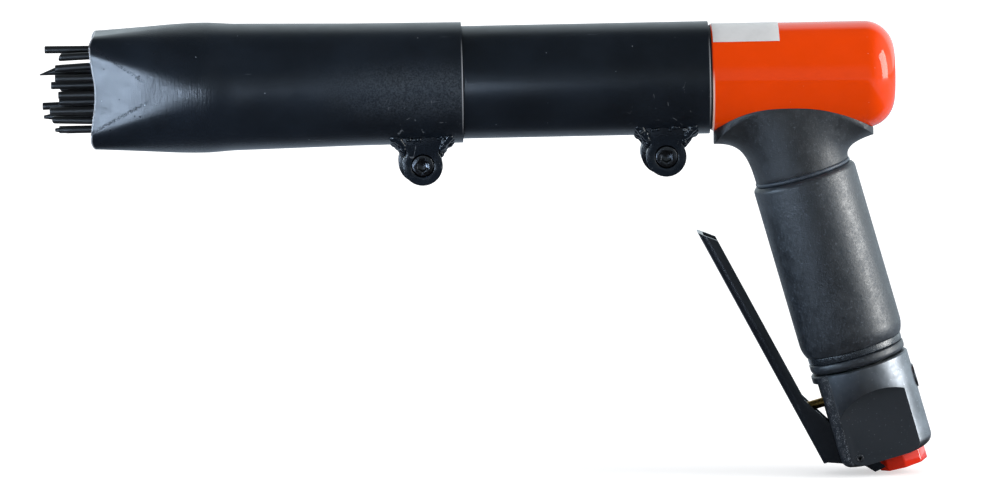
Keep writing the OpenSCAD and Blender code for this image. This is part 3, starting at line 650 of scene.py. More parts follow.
def finish(slot):
    """The finish of a material slot, made on first use."""
    if slot not in FINISHES:
        c = tints()
        makers = {
            "red_paint": lambda n: gloss_red(n, c.red),
            "inlet_red": lambda n: gloss_red(n, c.inlet, 0.9),
            "label_film": lambda n: bare_label(n, c.label),
            "tube_black": lambda n: tube_paint(n, c.tube),
            "weld_black": lambda n: tube_paint(n, c.tube, 0.12),
            "nozzle_paint": lambda n: nozzle_paint(n, c.tube),
            "saddle_plastic": lambda n: grained(n, c.saddle, 0.8 * MM, 4.5, 0.46, 0.8),
            "grip_rubber": lambda n: grained(n, c.rubber, 1.0 * MM, 5.0, 0.44, 1.0),
            "collar_gloss": lambda n: grained(n, c.rubber, 0.5 * MM, 1.6, 0.24, 1.0),
            "bead_rubber": lambda n: grained(n, scaled(c.rubber, 2.6), 0.6 * MM, 3.0, 0.42),
            "valve_casting": lambda n: valve_casting(n, c.casting),
            "lever_black": lambda n: tube_paint(n, c.lever),
            "dark_steel": lambda n: worked_metal(n, c.dark_steel, 0.2, 1.0, EVEN),
            "pin_steel": lambda n: worked_metal(n, scaled(c.dark_steel, 2.8), 0.3, 1.0, EVEN),
            "bright_steel": lambda n: worked_metal(n, c.bright_steel, 0.28, 1.0, LONG_STREAK),
            "needle_steel": lambda n: worked_metal(n, c.needle, 0.44, 0.0, LONG_STREAK),
            "brass": lambda n: worked_metal(n, c.brass, 0.28, 1.0, EVEN),
            "bare_aluminium": lambda n: worked_metal(n, c.aluminium, 0.32, 1.0, EVEN),
            "seal_rubber": lambda n: grained(n, c.seal, 0.4 * MM, 1.8, 0.55),
        }
        FINISHES[slot] = makers[slot](slot)
    return FINISHES[slot]


class SCALER_OT_housing(bpy.types.Operator):
    """Turn the closed rear housing and lay its bare label"""
    bl_idname = "scaler.housing"
    bl_label = "Rear housing"

    def execute(self, context):
        s = sizes()
        low, high = node_box("rear_housing", BARREL)
        rear, front, radius = low.z, high.z, high.y
        inner = radius - s.housing_wall
        back_wall, inner_round, inner_middle = 3 * MM, 9 * MM, 1 * MM
        rim_land, crown, crown_radius, crown_tip = 1 * MM, 0.25 * MM, 3 * MM, 0.27 * MM
        profile = [(rear + back_wall, inner_middle), (rear + back_wall, inner - inner_round)]
        profile += [(rear + back_wall + inner_round, inner), (front, inner)]
        profile += arc(front - s.housing_rim, radius - s.housing_rim, s.housing_rim, 90, 0, 5)
        profile += [(front - rim_land, radius)]
        profile += arc(rear + s.housing_round, radius - s.housing_round, s.housing_round, 0, -90, 14)
        profile += [(rear - crown, crown_radius), (rear - crown_tip, 0)]
        housing = turned("housing_shell", profile, Matrix.Identity(4), 128)
        smooth(housing)
        # The front rim is marked for the painted pale reflection
        store_rim_glint_and_wear(housing, lambda co: co.z > front - s.housing_rim)
        put_at(housing, BARREL)
        settle(housing, "body", "red_paint", "rear_housing")

        clear_selection()
        bpy.ops.mesh.primitive_grid_add(x_subdivisions=6, y_subdivisions=40, size=1)
        label = call_it("label_plate")
        glue, film, film_edge = 0.04 * MM, 0.12 * MM, 0.04 * MM
        skin = radius + glue
        start = front - s.label_front - s.label_length
        for vertex in label.data.vertices:
            turn = vertex.co.y * s.label_turn
            along = start + (vertex.co.x + 0.5) * s.label_length
            vertex.co = BARREL @ Vector((skin * math.cos(turn), skin * math.sin(turn), along))
        tidy_skin(label)
        apply_modifier(label, "SOLIDIFY", thickness=film, offset=1)
        ease_edges(label, film_edge, 2, 60)
        smooth(label)
        settle(label, "body", "red_paint", look="label_film")
        return {"FINISHED"}


def pressed(value, power):
    """A sine or cosine pressed outward, so that an oval grows squarer with its power."""
    return math.copysign(abs(value) ** (2 / power), value)


class SCALER_OT_saddle(bpy.types.Operator):
    """Draw the saddle from its arch on the housing down to the handle's neck"""
    bl_idname = "scaler.saddle"
    bl_label = "Saddle"

    lip_length: length("Lip length", "Length of the saddle's lip under the housing", 64 * MM)
    lip_width: length("Lip width", "Width of the saddle's lip", 36.4 * MM)
    front_lip: length("Front lip", "Height of the lip at its front end", 5.4 * MM)
    rear_lip: length("Rear lip", "Height of the lip at its rear end", 2.8 * MM)
    side_lip: length("Side lip", "Height of the lip at its sides", 0.6 * MM)
    inside: length("Inside", "Height at which the lip starts inside the housing", 9 * MM)
    square: bpy.props.FloatProperty(name="Squareness", description="Power of the lip's oval",
                                    default=2.6, min=2)

    # Shares that pull the flare's curve at its lip and its neck: at the sides, and their growth to the rear
    LIP_IN, LIP_DOWN, NECK_UP = (0.57, -0.23), (0.13, 0.13), (0.62, -0.18)

    def strand(self, turn, lean, housing_radius, neck, foot, steps):
        """One line of the skin, from inside the housing over the lip and down the flare to the neck."""
        rear = math.cos(turn)
        along = self.lip_length / 2 * pressed(rear, self.square)
        across = self.lip_width / 2 * pressed(math.sin(turn), self.square)
        skin = -math.sqrt(max(0, housing_radius ** 2 - across ** 2))
        shift, drop = 0.8 * MM, 2 * MM
        centre = CROSSING.x + shift - math.tan(lean) * (skin - drop)
        lip = self.side_lip + ((self.rear_lip if rear > 0 else self.front_lip) - self.side_lip) * rear ** 2
        edge = Vector((centre + along, across, BARREL_Z + skin - lip))
        axis = -HANDLE_UP
        end = CROSSING + axis * foot + HANDLE.col[0].xyz * (-neck * rear) + ACROSS * (neck * math.sin(turn))
        above = end - axis * ((end.z - edge.z) / axis.z)
        pulls = (self.LIP_IN, self.LIP_DOWN, self.NECK_UP)
        inward, down, up = (side + growth * rear for side, growth in pulls)
        first = edge + (above - edge) * inward + (end - edge) * down
        second = end + (above - end) * up
        line = [Vector((edge.x, edge.y, BARREL_Z - self.inside)), edge]
        for i in range(1, steps + 1):
            t = i / steps
            line.append(edge * (1 - t) ** 3 + first * (3 * t * (1 - t) ** 2)
                        + second * (3 * t * t * (1 - t)) + end * t ** 3)
        return line

    def execute(self, context):
        lean = math.atan2(-HANDLE_UP.x, HANDLE_UP.z)
        housing_radius = node_box("rear_housing", BARREL)[1].y
        neck_step, foot_step, housing_gap, core_gap, overrun = 0.3 * MM, 1.1 * MM, 0.06 * MM, 0.1 * MM, 5 * MM
        neck = node_box("grip_collar", HANDLE)[1].y - neck_step
        foot = node_box("saddle", HANDLE)[1].z - foot_step
        sides, steps = 144, 28
        strands = [self.strand(2 * math.pi * k / sides, lean, housing_radius, neck, foot, steps)
                   for k in range(sides)]
        clear_selection()
        bpy.ops.mesh.primitive_circle_add(vertices=sides, radius=self.lip_length / 2)
        saddle = call_it("saddle_moulding")
        open_edit(saddle)
        for number in range(steps + 2):
            if number:
                bpy.ops.mesh.extrude_region_move(TRANSFORM_OT_translate={"value": (0, 0, -1 * MM)})
            mesh = bmesh.from_edit_mesh(saddle.data)
            for strand, vertex in zip(strands, [vertex for vertex in mesh.verts if vertex.select]):
                vertex.co = strand[number]
            bmesh.update_edit_mesh(saddle.data)
        close_edit()
        open_edit(saddle)
        bpy.ops.mesh.select_all(action="DESELECT")
        bpy.ops.mesh.select_non_manifold()
        bpy.ops.mesh.edge_face_add()
        close_edit()
        tidy_skin(saddle)
        reach = self.lip_length
        cut(saddle, rod("housing_room", housing_radius + housing_gap, -reach, reach, BARREL, 160))
        core = node_box("handle_core", HANDLE)[1].y
        cut(saddle, rod("core_room", core + core_gap, 0, foot + overrun, HANDLE))
        ease_edges(saddle, 0.35 * MM, 3, 50)
        smooth(saddle, 45)
        settle(saddle, "body", "saddle_plastic", "saddle")
        return {"FINISHED"}


class SCALER_OT_grip(bpy.types.Operator):
    """Turn the rubber sleeve, the collar's two rings and the bead at the neck"""
    bl_idname = "scaler.grip"
    bl_label = "Grip"

    head_round: length("Head round", "Radius round the top of the sleeve", 2.4 * MM)
    foot_round: length("Foot round", "Radius of the long round at the foot of the sleeve", 12 * MM)

    def execute(self, context):
        s = sizes()
        fit, ring_height, groove, ring_sunk = 0.05 * MM, 3.0 * MM, 0.25 * MM, 0.2 * MM
        lip_slope, lip_round, bead_sunk = 0.5 * MM, 1.8 * MM, 0.7 * MM
        core = node_box("handle_core", HANDLE)[1].y + fit
        low, high = node_box("grip_sleeve", HANDLE)
        top, foot, radius = low.z, high.z, high.y
        collar_low, collar_high = node_box("grip_collar", HANDLE)
        neck = collar_high.y
        turn = math.degrees(math.acos(1 - (radius - neck) / self.foot_round))
        foot_length = self.foot_round * math.sin(math.radians(turn))
        profile = [(top, core)]
        profile += arc(top + self.head_round, radius - self.head_round, self.head_round, -90, 0)
        profile += arc(foot - foot_length, radius - self.foot_round, self.foot_round, 0, turn)
        profile += [(foot, core), (top, core)]
        sleeve = turned("grip_rubber_sleeve", profile, HANDLE, 128, True)
        ease_edges(sleeve, 0.3 * MM, 2, 45)
        smooth(sleeve)
        settle(sleeve, "body", "grip_rubber", "grip_sleeve")

        collar_top, collar_foot = collar_low.z, collar_high.z
        middle = collar_top + ring_height
        ring = [(collar_top + fit, core), (collar_top + fit, neck - ring_sunk),
                (middle - groove, neck - ring_sunk), (middle - groove, core)]
        upper = turned("collar_ring", ring + ring[:1], HANDLE, 128, True)
        ease_edges(upper, 0.3 * MM, 3)
        smooth(upper)
        settle(upper, "body", "grip_rubber", "grip_collar", look="collar_gloss")
        lip = [(middle, core), (middle, neck - lip_slope), (middle + lip_slope, neck)]
        lip += arc(collar_foot - lip_round, neck - lip_round, lip_round, 0, 90, 8)
        lip += [(collar_foot, core)]
        lower = turned("collar_lip", lip + lip[:1], HANDLE, 128, True)
        smooth(lower, 50)
        settle(lower, "body", "grip_rubber", "grip_collar")

        bead_place = top - s.bead_radius
        bead = arc(bead_place, neck - bead_sunk, s.bead_radius, 0, 360, 14)
        ring = turned("neck_bead", bead, HANDLE, 128, True)
        smooth(ring, 60)
        settle(ring, "body", "grip_rubber", look="bead_rubber")
        return {"FINISHED"}


class SCALER_OT_valve_group(bpy.types.Operator):
    """Ease and finish the valve body, its plug, the lever's pin and the inlet bush"""
    bl_idname = "scaler.valve_group"
    bl_label = "Valve body and inlet"

    def execute(self, context):
        casting = dressed("valve_body", "valve_casting_body", 0.45 * MM, "body", "valve_casting")
        self.mark_flats(casting, node_box("valve_body", HANDLE)[1].y)
        dressed("valve_plug", "valve_plug_turned", 0.25 * MM, "body", "dark_steel", "pin_steel")
        dressed("lever_pin", "lever_roll_pin", 0.15 * MM, "body", "dark_steel", "pin_steel")
        dressed("inlet_bush", "inlet_octagon", 0.80 * MM, "body", "inlet_red")
        return {"FINISHED"}

    def mark_flats(self, piece, radius):
        """Marks the faces that lie square across the tool inside the body's round."""
        square_on, depth = 0.99, 0.6 * MM
        milled = piece.data.attributes.new("milled", "FLOAT", "FACE")
        for face, value in zip(piece.data.polygons, milled.data):
            value.value = float(abs(face.normal.y) > square_on and abs(face.center.y) < radius - depth)


class SCALER_OT_lever(bpy.types.Operator):
    """Ease and finish the throttle lever and the valve stem that it pushes"""
    bl_idname = "scaler.lever"
    bl_label = "Throttle lever and stem"

    def execute(self, context):
        dressed("throttle_lever", "lever_channel", 0.4 * MM, "lever", "lever_black")
        dressed("valve_stem", "valve_stem_turned", 0.3 * MM, "valve", "brass")
        return {"FINISHED"}


def clamp(tube, surface, screw_node, rear):
    """Cuts the split into a tube's rear end and adds its two clamp ears."""
    s = sizes()
    screw = node_box(screw_node, BARREL)
    forward = (screw[0].z + screw[1].z) / 2
    up = (screw[0].x + screw[1].x) / 2
    root, overrun, head_gap, recess_depth = 1.1 * MM, 2 * MM, 0.4 * MM, 4.6 * MM
    far_growth, far_shift, waist, steps = 0.4 * MM, 1.2 * MM, math.radians(38), 28
    clear_selection()
    bpy.ops.mesh.primitive_cube_add(size=1)
    slit = call_it("slit")
    for vertex in slit.data.vertices:
        past = overrun if vertex.co.z < 0 else 0
        vertex.co = Vector(((vertex.co.x - 0.5) * 2 * surface, vertex.co.y * s.split_width,
                            rear + (vertex.co.z + 0.5) * s.split_length - past))
    cut(tube, slit)
    for side, radius, shift in ((-1, s.ear_radius, 0), (1, s.ear_radius + far_growth, far_shift)):
        middle = forward + shift
        outline = []
        for i in range(steps + 1):
            turn = -waist + (math.pi + 2 * waist) * i / steps
            outline.append((up - radius * math.sin(turn), middle + radius * math.cos(turn)))
        top = root - surface
        neck_up, neck_half = up + radius * math.sin(waist), radius * math.cos(waist)
        spread = s.ear_radius + s.ear_flare - neck_half
        web = [i / 10 for i in range(1, 11)]
        outline += [(neck_up + (top - neck_up) * t, middle - neck_half - spread * t * t) for t in web]
        outline += [(neck_up + (top - neck_up) * t, middle + neck_half + spread * t * t)
                    for t in reversed(web)]
        near = s.split_width / 2
        far = near + s.ear_thickness
        ear = plate("ear", outline, min(side * near, side * far), max(side * near, side * far))
        skin = surface - root
        for vertex in ear.data.vertices:
            if vertex.co.x > top - 0.01 * MM:
                vertex.co.x = -math.sqrt(skin * skin - vertex.co.y ** 2)
        if side < 0:
            head = (screw[1].z - screw[0].z) / 2 + head_gap
            across = Matrix.Translation((up, 0, forward)) @ Matrix.Rotation(math.radians(90), 4, "X")
            cut(ear, rod("recess", head, far - recess_depth, far + overrun, across, 48))
        ease_edges(ear, 0.45 * MM, 3, 40)
        cut(tube, ear, "UNION")


def weld(name, screw_node, surface):
    """Lumpy weld beads where the ears meet the tube, down both ends of each ear and along its outside."""
    s = sizes()
    draw = random.Random(name)
    screw = node_box(screw_node, BARREL)
    forward = (screw[0].z + screw[1].z) / 2
    reach = s.ear_radius + s.ear_flare - 1.2 * MM
    outer = s.split_width / 2 + s.ear_thickness
    beads = []
    for side in (-1, 1):
        for end in (-1, 1):
            for i in range(5):
                across = side * (s.split_width / 2 + (s.ear_thickness - 0.6 * MM) * i / 4)
                for j in range(6):
                    down = j / 5
                    past = 1.7 - 3.9 * down + draw.uniform(-0.4, 0.4)
                    radius = 1.9 - 0.8 * down + draw.uniform(-0.3, 0.4)
                    lift = 0.9 - 5.2 * down ** 1.4 + draw.uniform(-0.4, 0.4)
                    beads.append((across, forward + end * (reach + past * MM), radius * MM, lift * MM))
        for i in range(6):
            beads.append((side * outer, forward + draw.uniform(-0.9, 0.9) * reach,
                          draw.uniform(0.7, 1.2) * MM, draw.uniform(-0.8, 0.5) * MM))
    lumps = []
    for across, along, radius, lift in beads:
        up = lift - math.sqrt((surface + 0.1 * MM) ** 2 - across ** 2)
        clear_selection()
        bpy.ops.mesh.primitive_uv_sphere_add(segments=14, ring_count=8, radius=radius,
                                             location=(up, across, along))
        lumps.append(call_it("lump"))
    piece = join(name, lumps)
    apply_modifier(piece, "REMESH", mode="VOXEL", voxel_size=0.3 * MM)
    apply_modifier(piece, "SMOOTH", factor=0.5, iterations=4)
    smooth(piece, 80)
    put_at(piece, BARREL)
    return piece


# Ring of vertices beside a tube's rear rim, which keeps the rim's easing even
RIM_RING = 0.6 * MM


def rear_rim_glint(place, rear, radius):
    """Painted glint on the outer edge at the rear end of a tube that runs along z, most at half height on the
    near side.
    """
    band, most, reach = 0.42 * MM, 0.75, 0.8
    on_edge = place.z - rear < band and place.xy.length > radius - band
    return most * max(0.0, 1 - (abs(place.x) / (reach * radius)) ** 2) if on_edge and place.y < 0 else 0.0


class SCALER_OT_rear_tube(bpy.types.Operator):
    """Turn the rear tube and add its split, clamp ears, weld and screw"""
    bl_idname = "scaler.rear_tube"
    bl_label = "Rear tube"

    def execute(self, context):
        s = sizes()
        low, high = node_box("rear_tube", BARREL)
        rear, front, radius = low.z, high.z, high.y
        inner = radius - s.tube_wall
        section = [(rear, inner), (rear, radius), (rear + RIM_RING, radius), (front, radius), (front, inner),
                   (rear, inner)]
        tube = turned("rear_barrel_tube", section, Matrix.Identity(4), 128, True)
        clamp(tube, radius, "rear_clamp_screw", rear)
        ease_edges(tube, 0.3 * MM, 2, 60)
        smooth(tube)
        # The rear rim is marked for a painted glint
        store_rim_glint_and_wear(tube, lambda co: rear_rim_glint(co, rear, radius))
        put_at(tube, BARREL)
        settle(tube, "body", "tube_black", "rear_tube")
        core, housing = node_box("cylinder", BARREL)[1].y, node_box("rear_housing", BARREL)[1].z
        seal_in, seal_out = core + 0.02 * MM, core + 0.4 * MM
        seal = [(housing, seal_in), (housing, seal_out), (rear, seal_out), (rear, seal_in)]
        joint = turned("joint_seal", seal + seal[:1], BARREL, 128, True)
        smooth(joint)
        settle(joint, "body", "seal_rubber")
        bead = weld("rear_weld", "rear_clamp_screw", radius)
        settle(bead, "body", "tube_black", look="weld_black")
        dressed("rear_clamp_screw", "rear_cap_screw", 0.25 * MM, "body", "dark_steel")
        return {"FINISHED"}


class SCALER_OT_front_tube(bpy.types.Operator):
    """Draw the front tube from its round end to its square mouth and add its clamp"""
    bl_idname = "scaler.front_tube"
    bl_label = "Front tube"

    flat_turn: angle("Flat turn", "Angle of the round tube that a flat grows from", 13)
    ease: share("Ease", "Share of the nozzle that curves out of the tube", 0.4)

    # Shares of the bulge's growth that the tube has before the bulge, and of that growth just past the split
    TUBE_GROWTH, SPLIT_GROWTH = 0.63, 0.3

    def mouth_point(self, turn):
        """Up and across of the mouth's point that a point of the round tube is drawn to."""
        s = sizes()
        tall = s.mouth_height / 2 - s.mouth_corner
        wide = s.mouth_width / 2 - s.mouth_corner
        quarter = math.pi / 2
        within = abs(math.atan2(math.sin(turn), math.cos(turn)))
        within = within if within <= quarter else math.pi - within
        if within < self.flat_turn:
            up, across = tall + s.mouth_corner, wide * within / self.flat_turn
        elif within > quarter - self.flat_turn:
            up, across = tall * (quarter - within) / self.flat_turn, wide + s.mouth_corner
        else:
            corner = (within - self.flat_turn) / (quarter - 2 * self.flat_turn) * quarter
            up = tall + s.mouth_corner * math.cos(corner)
            across = wide + s.mouth_corner * math.sin(corner)
        return math.copysign(up, math.cos(turn)), math.copysign(across, math.sin(turn))

    def mouth_back(self, up):
        """How far the mouth's edge lies behind its foremost points at a height."""
        s = sizes()
        hollow_half = (s.mouth_height - s.mouth_corner) / 2
        if abs(up) < hollow_half:
            return s.mouth_hollow * math.cos(math.pi / 2 * up / hollow_half) ** 2
        return s.mouth_setback * ((abs(up) - hollow_half) / (s.mouth_height / 2 - hollow_half)) ** 2

    def execute(self, context):
        s = sizes()
        low, high = node_box("front_tube", BARREL)
        rear, mouth, bulge = low.z, high.z, high.y
        start = mouth - s.nozzle_length
        back = BARREL.inverted()
        rear_radius = max(abs((back @ v.co).y) for v in frame["nodes"]["front_tube"].data.vertices
                          if (back @ v.co).z < rear + 1 * MM)
        bulge_start = start - s.bulge_length
        front_radius = rear_radius + (bulge - rear_radius) * self.TUBE_GROWTH
        past_split = rear + s.split_length + 8 * MM
        split_radius = rear_radius + self.SPLIT_GROWTH * (front_radius - rear_radius)
        skin = [(rear, rear_radius), (rear + RIM_RING, rear_radius), (past_split, split_radius),
                (bulge_start, front_radius)]
        for i in range(1, 11):
            t = i / 10
            radius = front_radius + (bulge - front_radius) * t * t * (3 - 2 * t)
            skin.append((bulge_start + s.bulge_length * t, radius))
        steps, last_ring = 26, 0.984
        draws = [i / steps for i in range(1, steps)] + [last_ring, 1]
        skin += [(start + s.nozzle_length * t, bulge) for t in draws]
        tube = turned("front_barrel_tube", skin, Matrix.Identity(4), 144, True)
        for vertex in tube.data.vertices:
            t = (vertex.co.z - start) / s.nozzle_length
            if t > 0:
                turn = math.atan2(vertex.co.y, vertex.co.x)
                up, across = self.mouth_point(turn)
                vertex.co.z = start + (s.nozzle_length - self.mouth_back(up)) * t
                drawn = t * t / (2 * self.ease) if t < self.ease else t - self.ease / 2
                drawn /= 1 - self.ease / 2
                vertex.co.x += (up - vertex.co.x) * drawn
                vertex.co.y += (across - vertex.co.y) * drawn
        apply_modifier(tube, "SOLIDIFY", thickness=s.mouth_wall, offset=-1, use_even_offset=True)
        tidy_skin(tube)
        clamp(tube, rear_radius, "front_clamp_screw", rear)
        ease_edges(tube, 0.3 * MM, 2, 60)
        smooth(tube)
        rim, fade = 0.6 * MM, 0.3 * MM
        # The mouth's rim is painted pale and the rear rim takes a painted glint
        store_rim_glint_and_wear(tube, lambda co: max((co.z - mouth + self.mouth_back(co.x) + rim) / fade,
                                      rear_rim_glint(co, rear, rear_radius)))
        put_at(tube, BARREL)
        settle(tube, "front_barrel", "tube_black", "front_tube", look="nozzle_paint")
        bead = weld("front_weld", "front_clamp_screw", rear_radius)
        settle(bead, "front_barrel", "tube_black", look="weld_black")
        dressed("front_clamp_screw", "front_cap_screw", 0.25 * MM, "front_barrel", "dark_steel")
        return {"FINISHED"}


class SCALER_OT_needles(bpy.types.Operator):
    """Draw the needles with their worn, chiselled and blunt tips"""
    bl_idname = "scaler.needles"
    bl_label = "Needles"

    # Wear behind the longest tip, lift of the tip and shape, from the highest needle to the lowest
    TIPS = ((2.0, 0.4, "blunt"), (7.6, -1.4, "slant"), (8.2, -1.2, "blunt"), (6.4, -1.9, "blunt"),
            (7.0, -2.0, "blunt"), (7.0, -1.1, "blunt"), (0.0, 0.0, "point"), (7.0, 0.0, "blunt"),
            (6.4, 0.0, "blunt"), (6.8, 0.0, "slant"), (7.2, 0.0, "blunt"), (4.6, 0.0, "blunt"),
            (7.0, 0.0, "slant"), (7.6, 0.0, "blunt"), (7.6, 0.0, "blunt"), (7.3, 0.0, "slant"),
            (8.0, 0.0, "blunt"), (7.6, 0.0, "blunt"), (7.4, 0.0, "slant"), (0.4, -1.0, "blunt"),
            (4.0, 0.0, "blunt"), (5.0, 0.0, "slant"), (7.0, 0.0, "blunt"), (1.0, -1.2, "taper"),
            (4.6, 1.5, "slant"), (7.0, 1.2, "blunt"), (5.6, 0.0, "taper"), (7.0, 0.0, "blunt"))

    # Lengths at the tip that a lift bends and that a shape takes up
    BEND, TIP = 70 * MM, 6 * MM

    def shape_tip(self, needle, kind, reach, turn):
        """Shapes the last few millimetres of a needle that runs along z."""
        s = sizes()
        radius = s.needle_diameter / 2
        slant, point, taper, taper_start = 0.55, 0.85, 0.55, 0.2
        for vertex in needle.data.vertices:
            near = (vertex.co.z - (reach - self.TIP)) / self.TIP
            if near <= 0:
                continue
            flat = vertex.co.x * math.cos(turn) + vertex.co.y * math.sin(turn)
            if kind == "slant":
                vertex.co.z -= near * slant * (radius + flat)
            elif kind == "point":
                squeeze = 1 - point * near
                vertex.co.x += (vertex.co.x + radius) * (squeeze - 1)
            elif kind == "taper":
                squeeze = 1 - taper * max(0.0, near - taper_start) / (1 - taper_start)
                vertex.co.x *= squeeze
                vertex.co.y *= squeeze

    def execute(self, context):
        s = sizes()
        draw = random.Random("needle tips")
        pattern = traced("needles", "needle_pattern")
        open_edit(pattern)
        bpy.ops.mesh.separate(type="LOOSE")
        close_edit()
        patterns = list(bpy.context.selected_objects)
        places = []
        for piece in patterns:
            xs, ys, zs = zip(*(vertex.co for vertex in piece.data.vertices))
            places.append((max(xs), min(xs), (max(ys) + min(ys)) / 2, (max(zs) + min(zs)) / 2))
            bpy.data.objects.remove(piece)
        places.sort(key=lambda place: (-round(place[3], 5), place[2]))
        radius = s.needle_diameter / 2
        head_radius, head_length, head_end = radius * 1.5, 2.4 * MM, 2.8 * MM
        rings = (70, 55, 42, 31, 22, 14, 6)
        tip_run, tip_edge = 5.6 * MM, 0.1 * MM
        needles = []
        foremost = min(tip for head, tip, across, up in places)
        for (head, tip, across, up), (worn, lift, kind) in zip(places, self.TIPS):
            reach = head - foremost - worn * MM
            profile = [(0, head_radius), (head_length, head_radius), (head_end, radius)]
            profile += [(reach - back * MM, radius) for back in rings]
            profile += [(reach - self.TIP + tip_run * i / 5, radius) for i in range(1, 6)]
            profile += [(reach - tip_edge, radius * 0.94), (reach, radius * 0.8), (reach, 0)]
            needle = turned("needle", profile, Matrix.Identity(4), 20)
            self.shape_tip(needle, kind, reach, draw.uniform(0, math.pi))
            for vertex in needle.data.vertices:
                vertex.co.x += lift * MM * max(0.0, 1 - (reach - vertex.co.z) / self.BEND) ** 2
            put_at(needle, lathe_frame(Vector((head, across, up)), Vector((-1, 0, 0))))
            needles.append(needle)
        bundle = join("needle_bundle", needles)
        smooth(bundle)
        settle(bundle, "needle_pack", "needle_steel", "needles")
        return {"FINISHED"}


class SCALER_OT_inner_pieces(bpy.types.Operator):
    """Give each CAD node that stays in view its own finish"""
    bl_idname = "scaler.inner_pieces"
    bl_label = "Inner pieces"

    def execute(self, context):
        slots = {row["node"]: row["material_slot"] for row in frame["record"]["subparts"]}
        for name, node in frame["nodes"].items():
            if not node.hide_render:
                node.data.materials.clear()
                node.data.materials.append(finish(slots[name]))
        return {"FINISHED"}


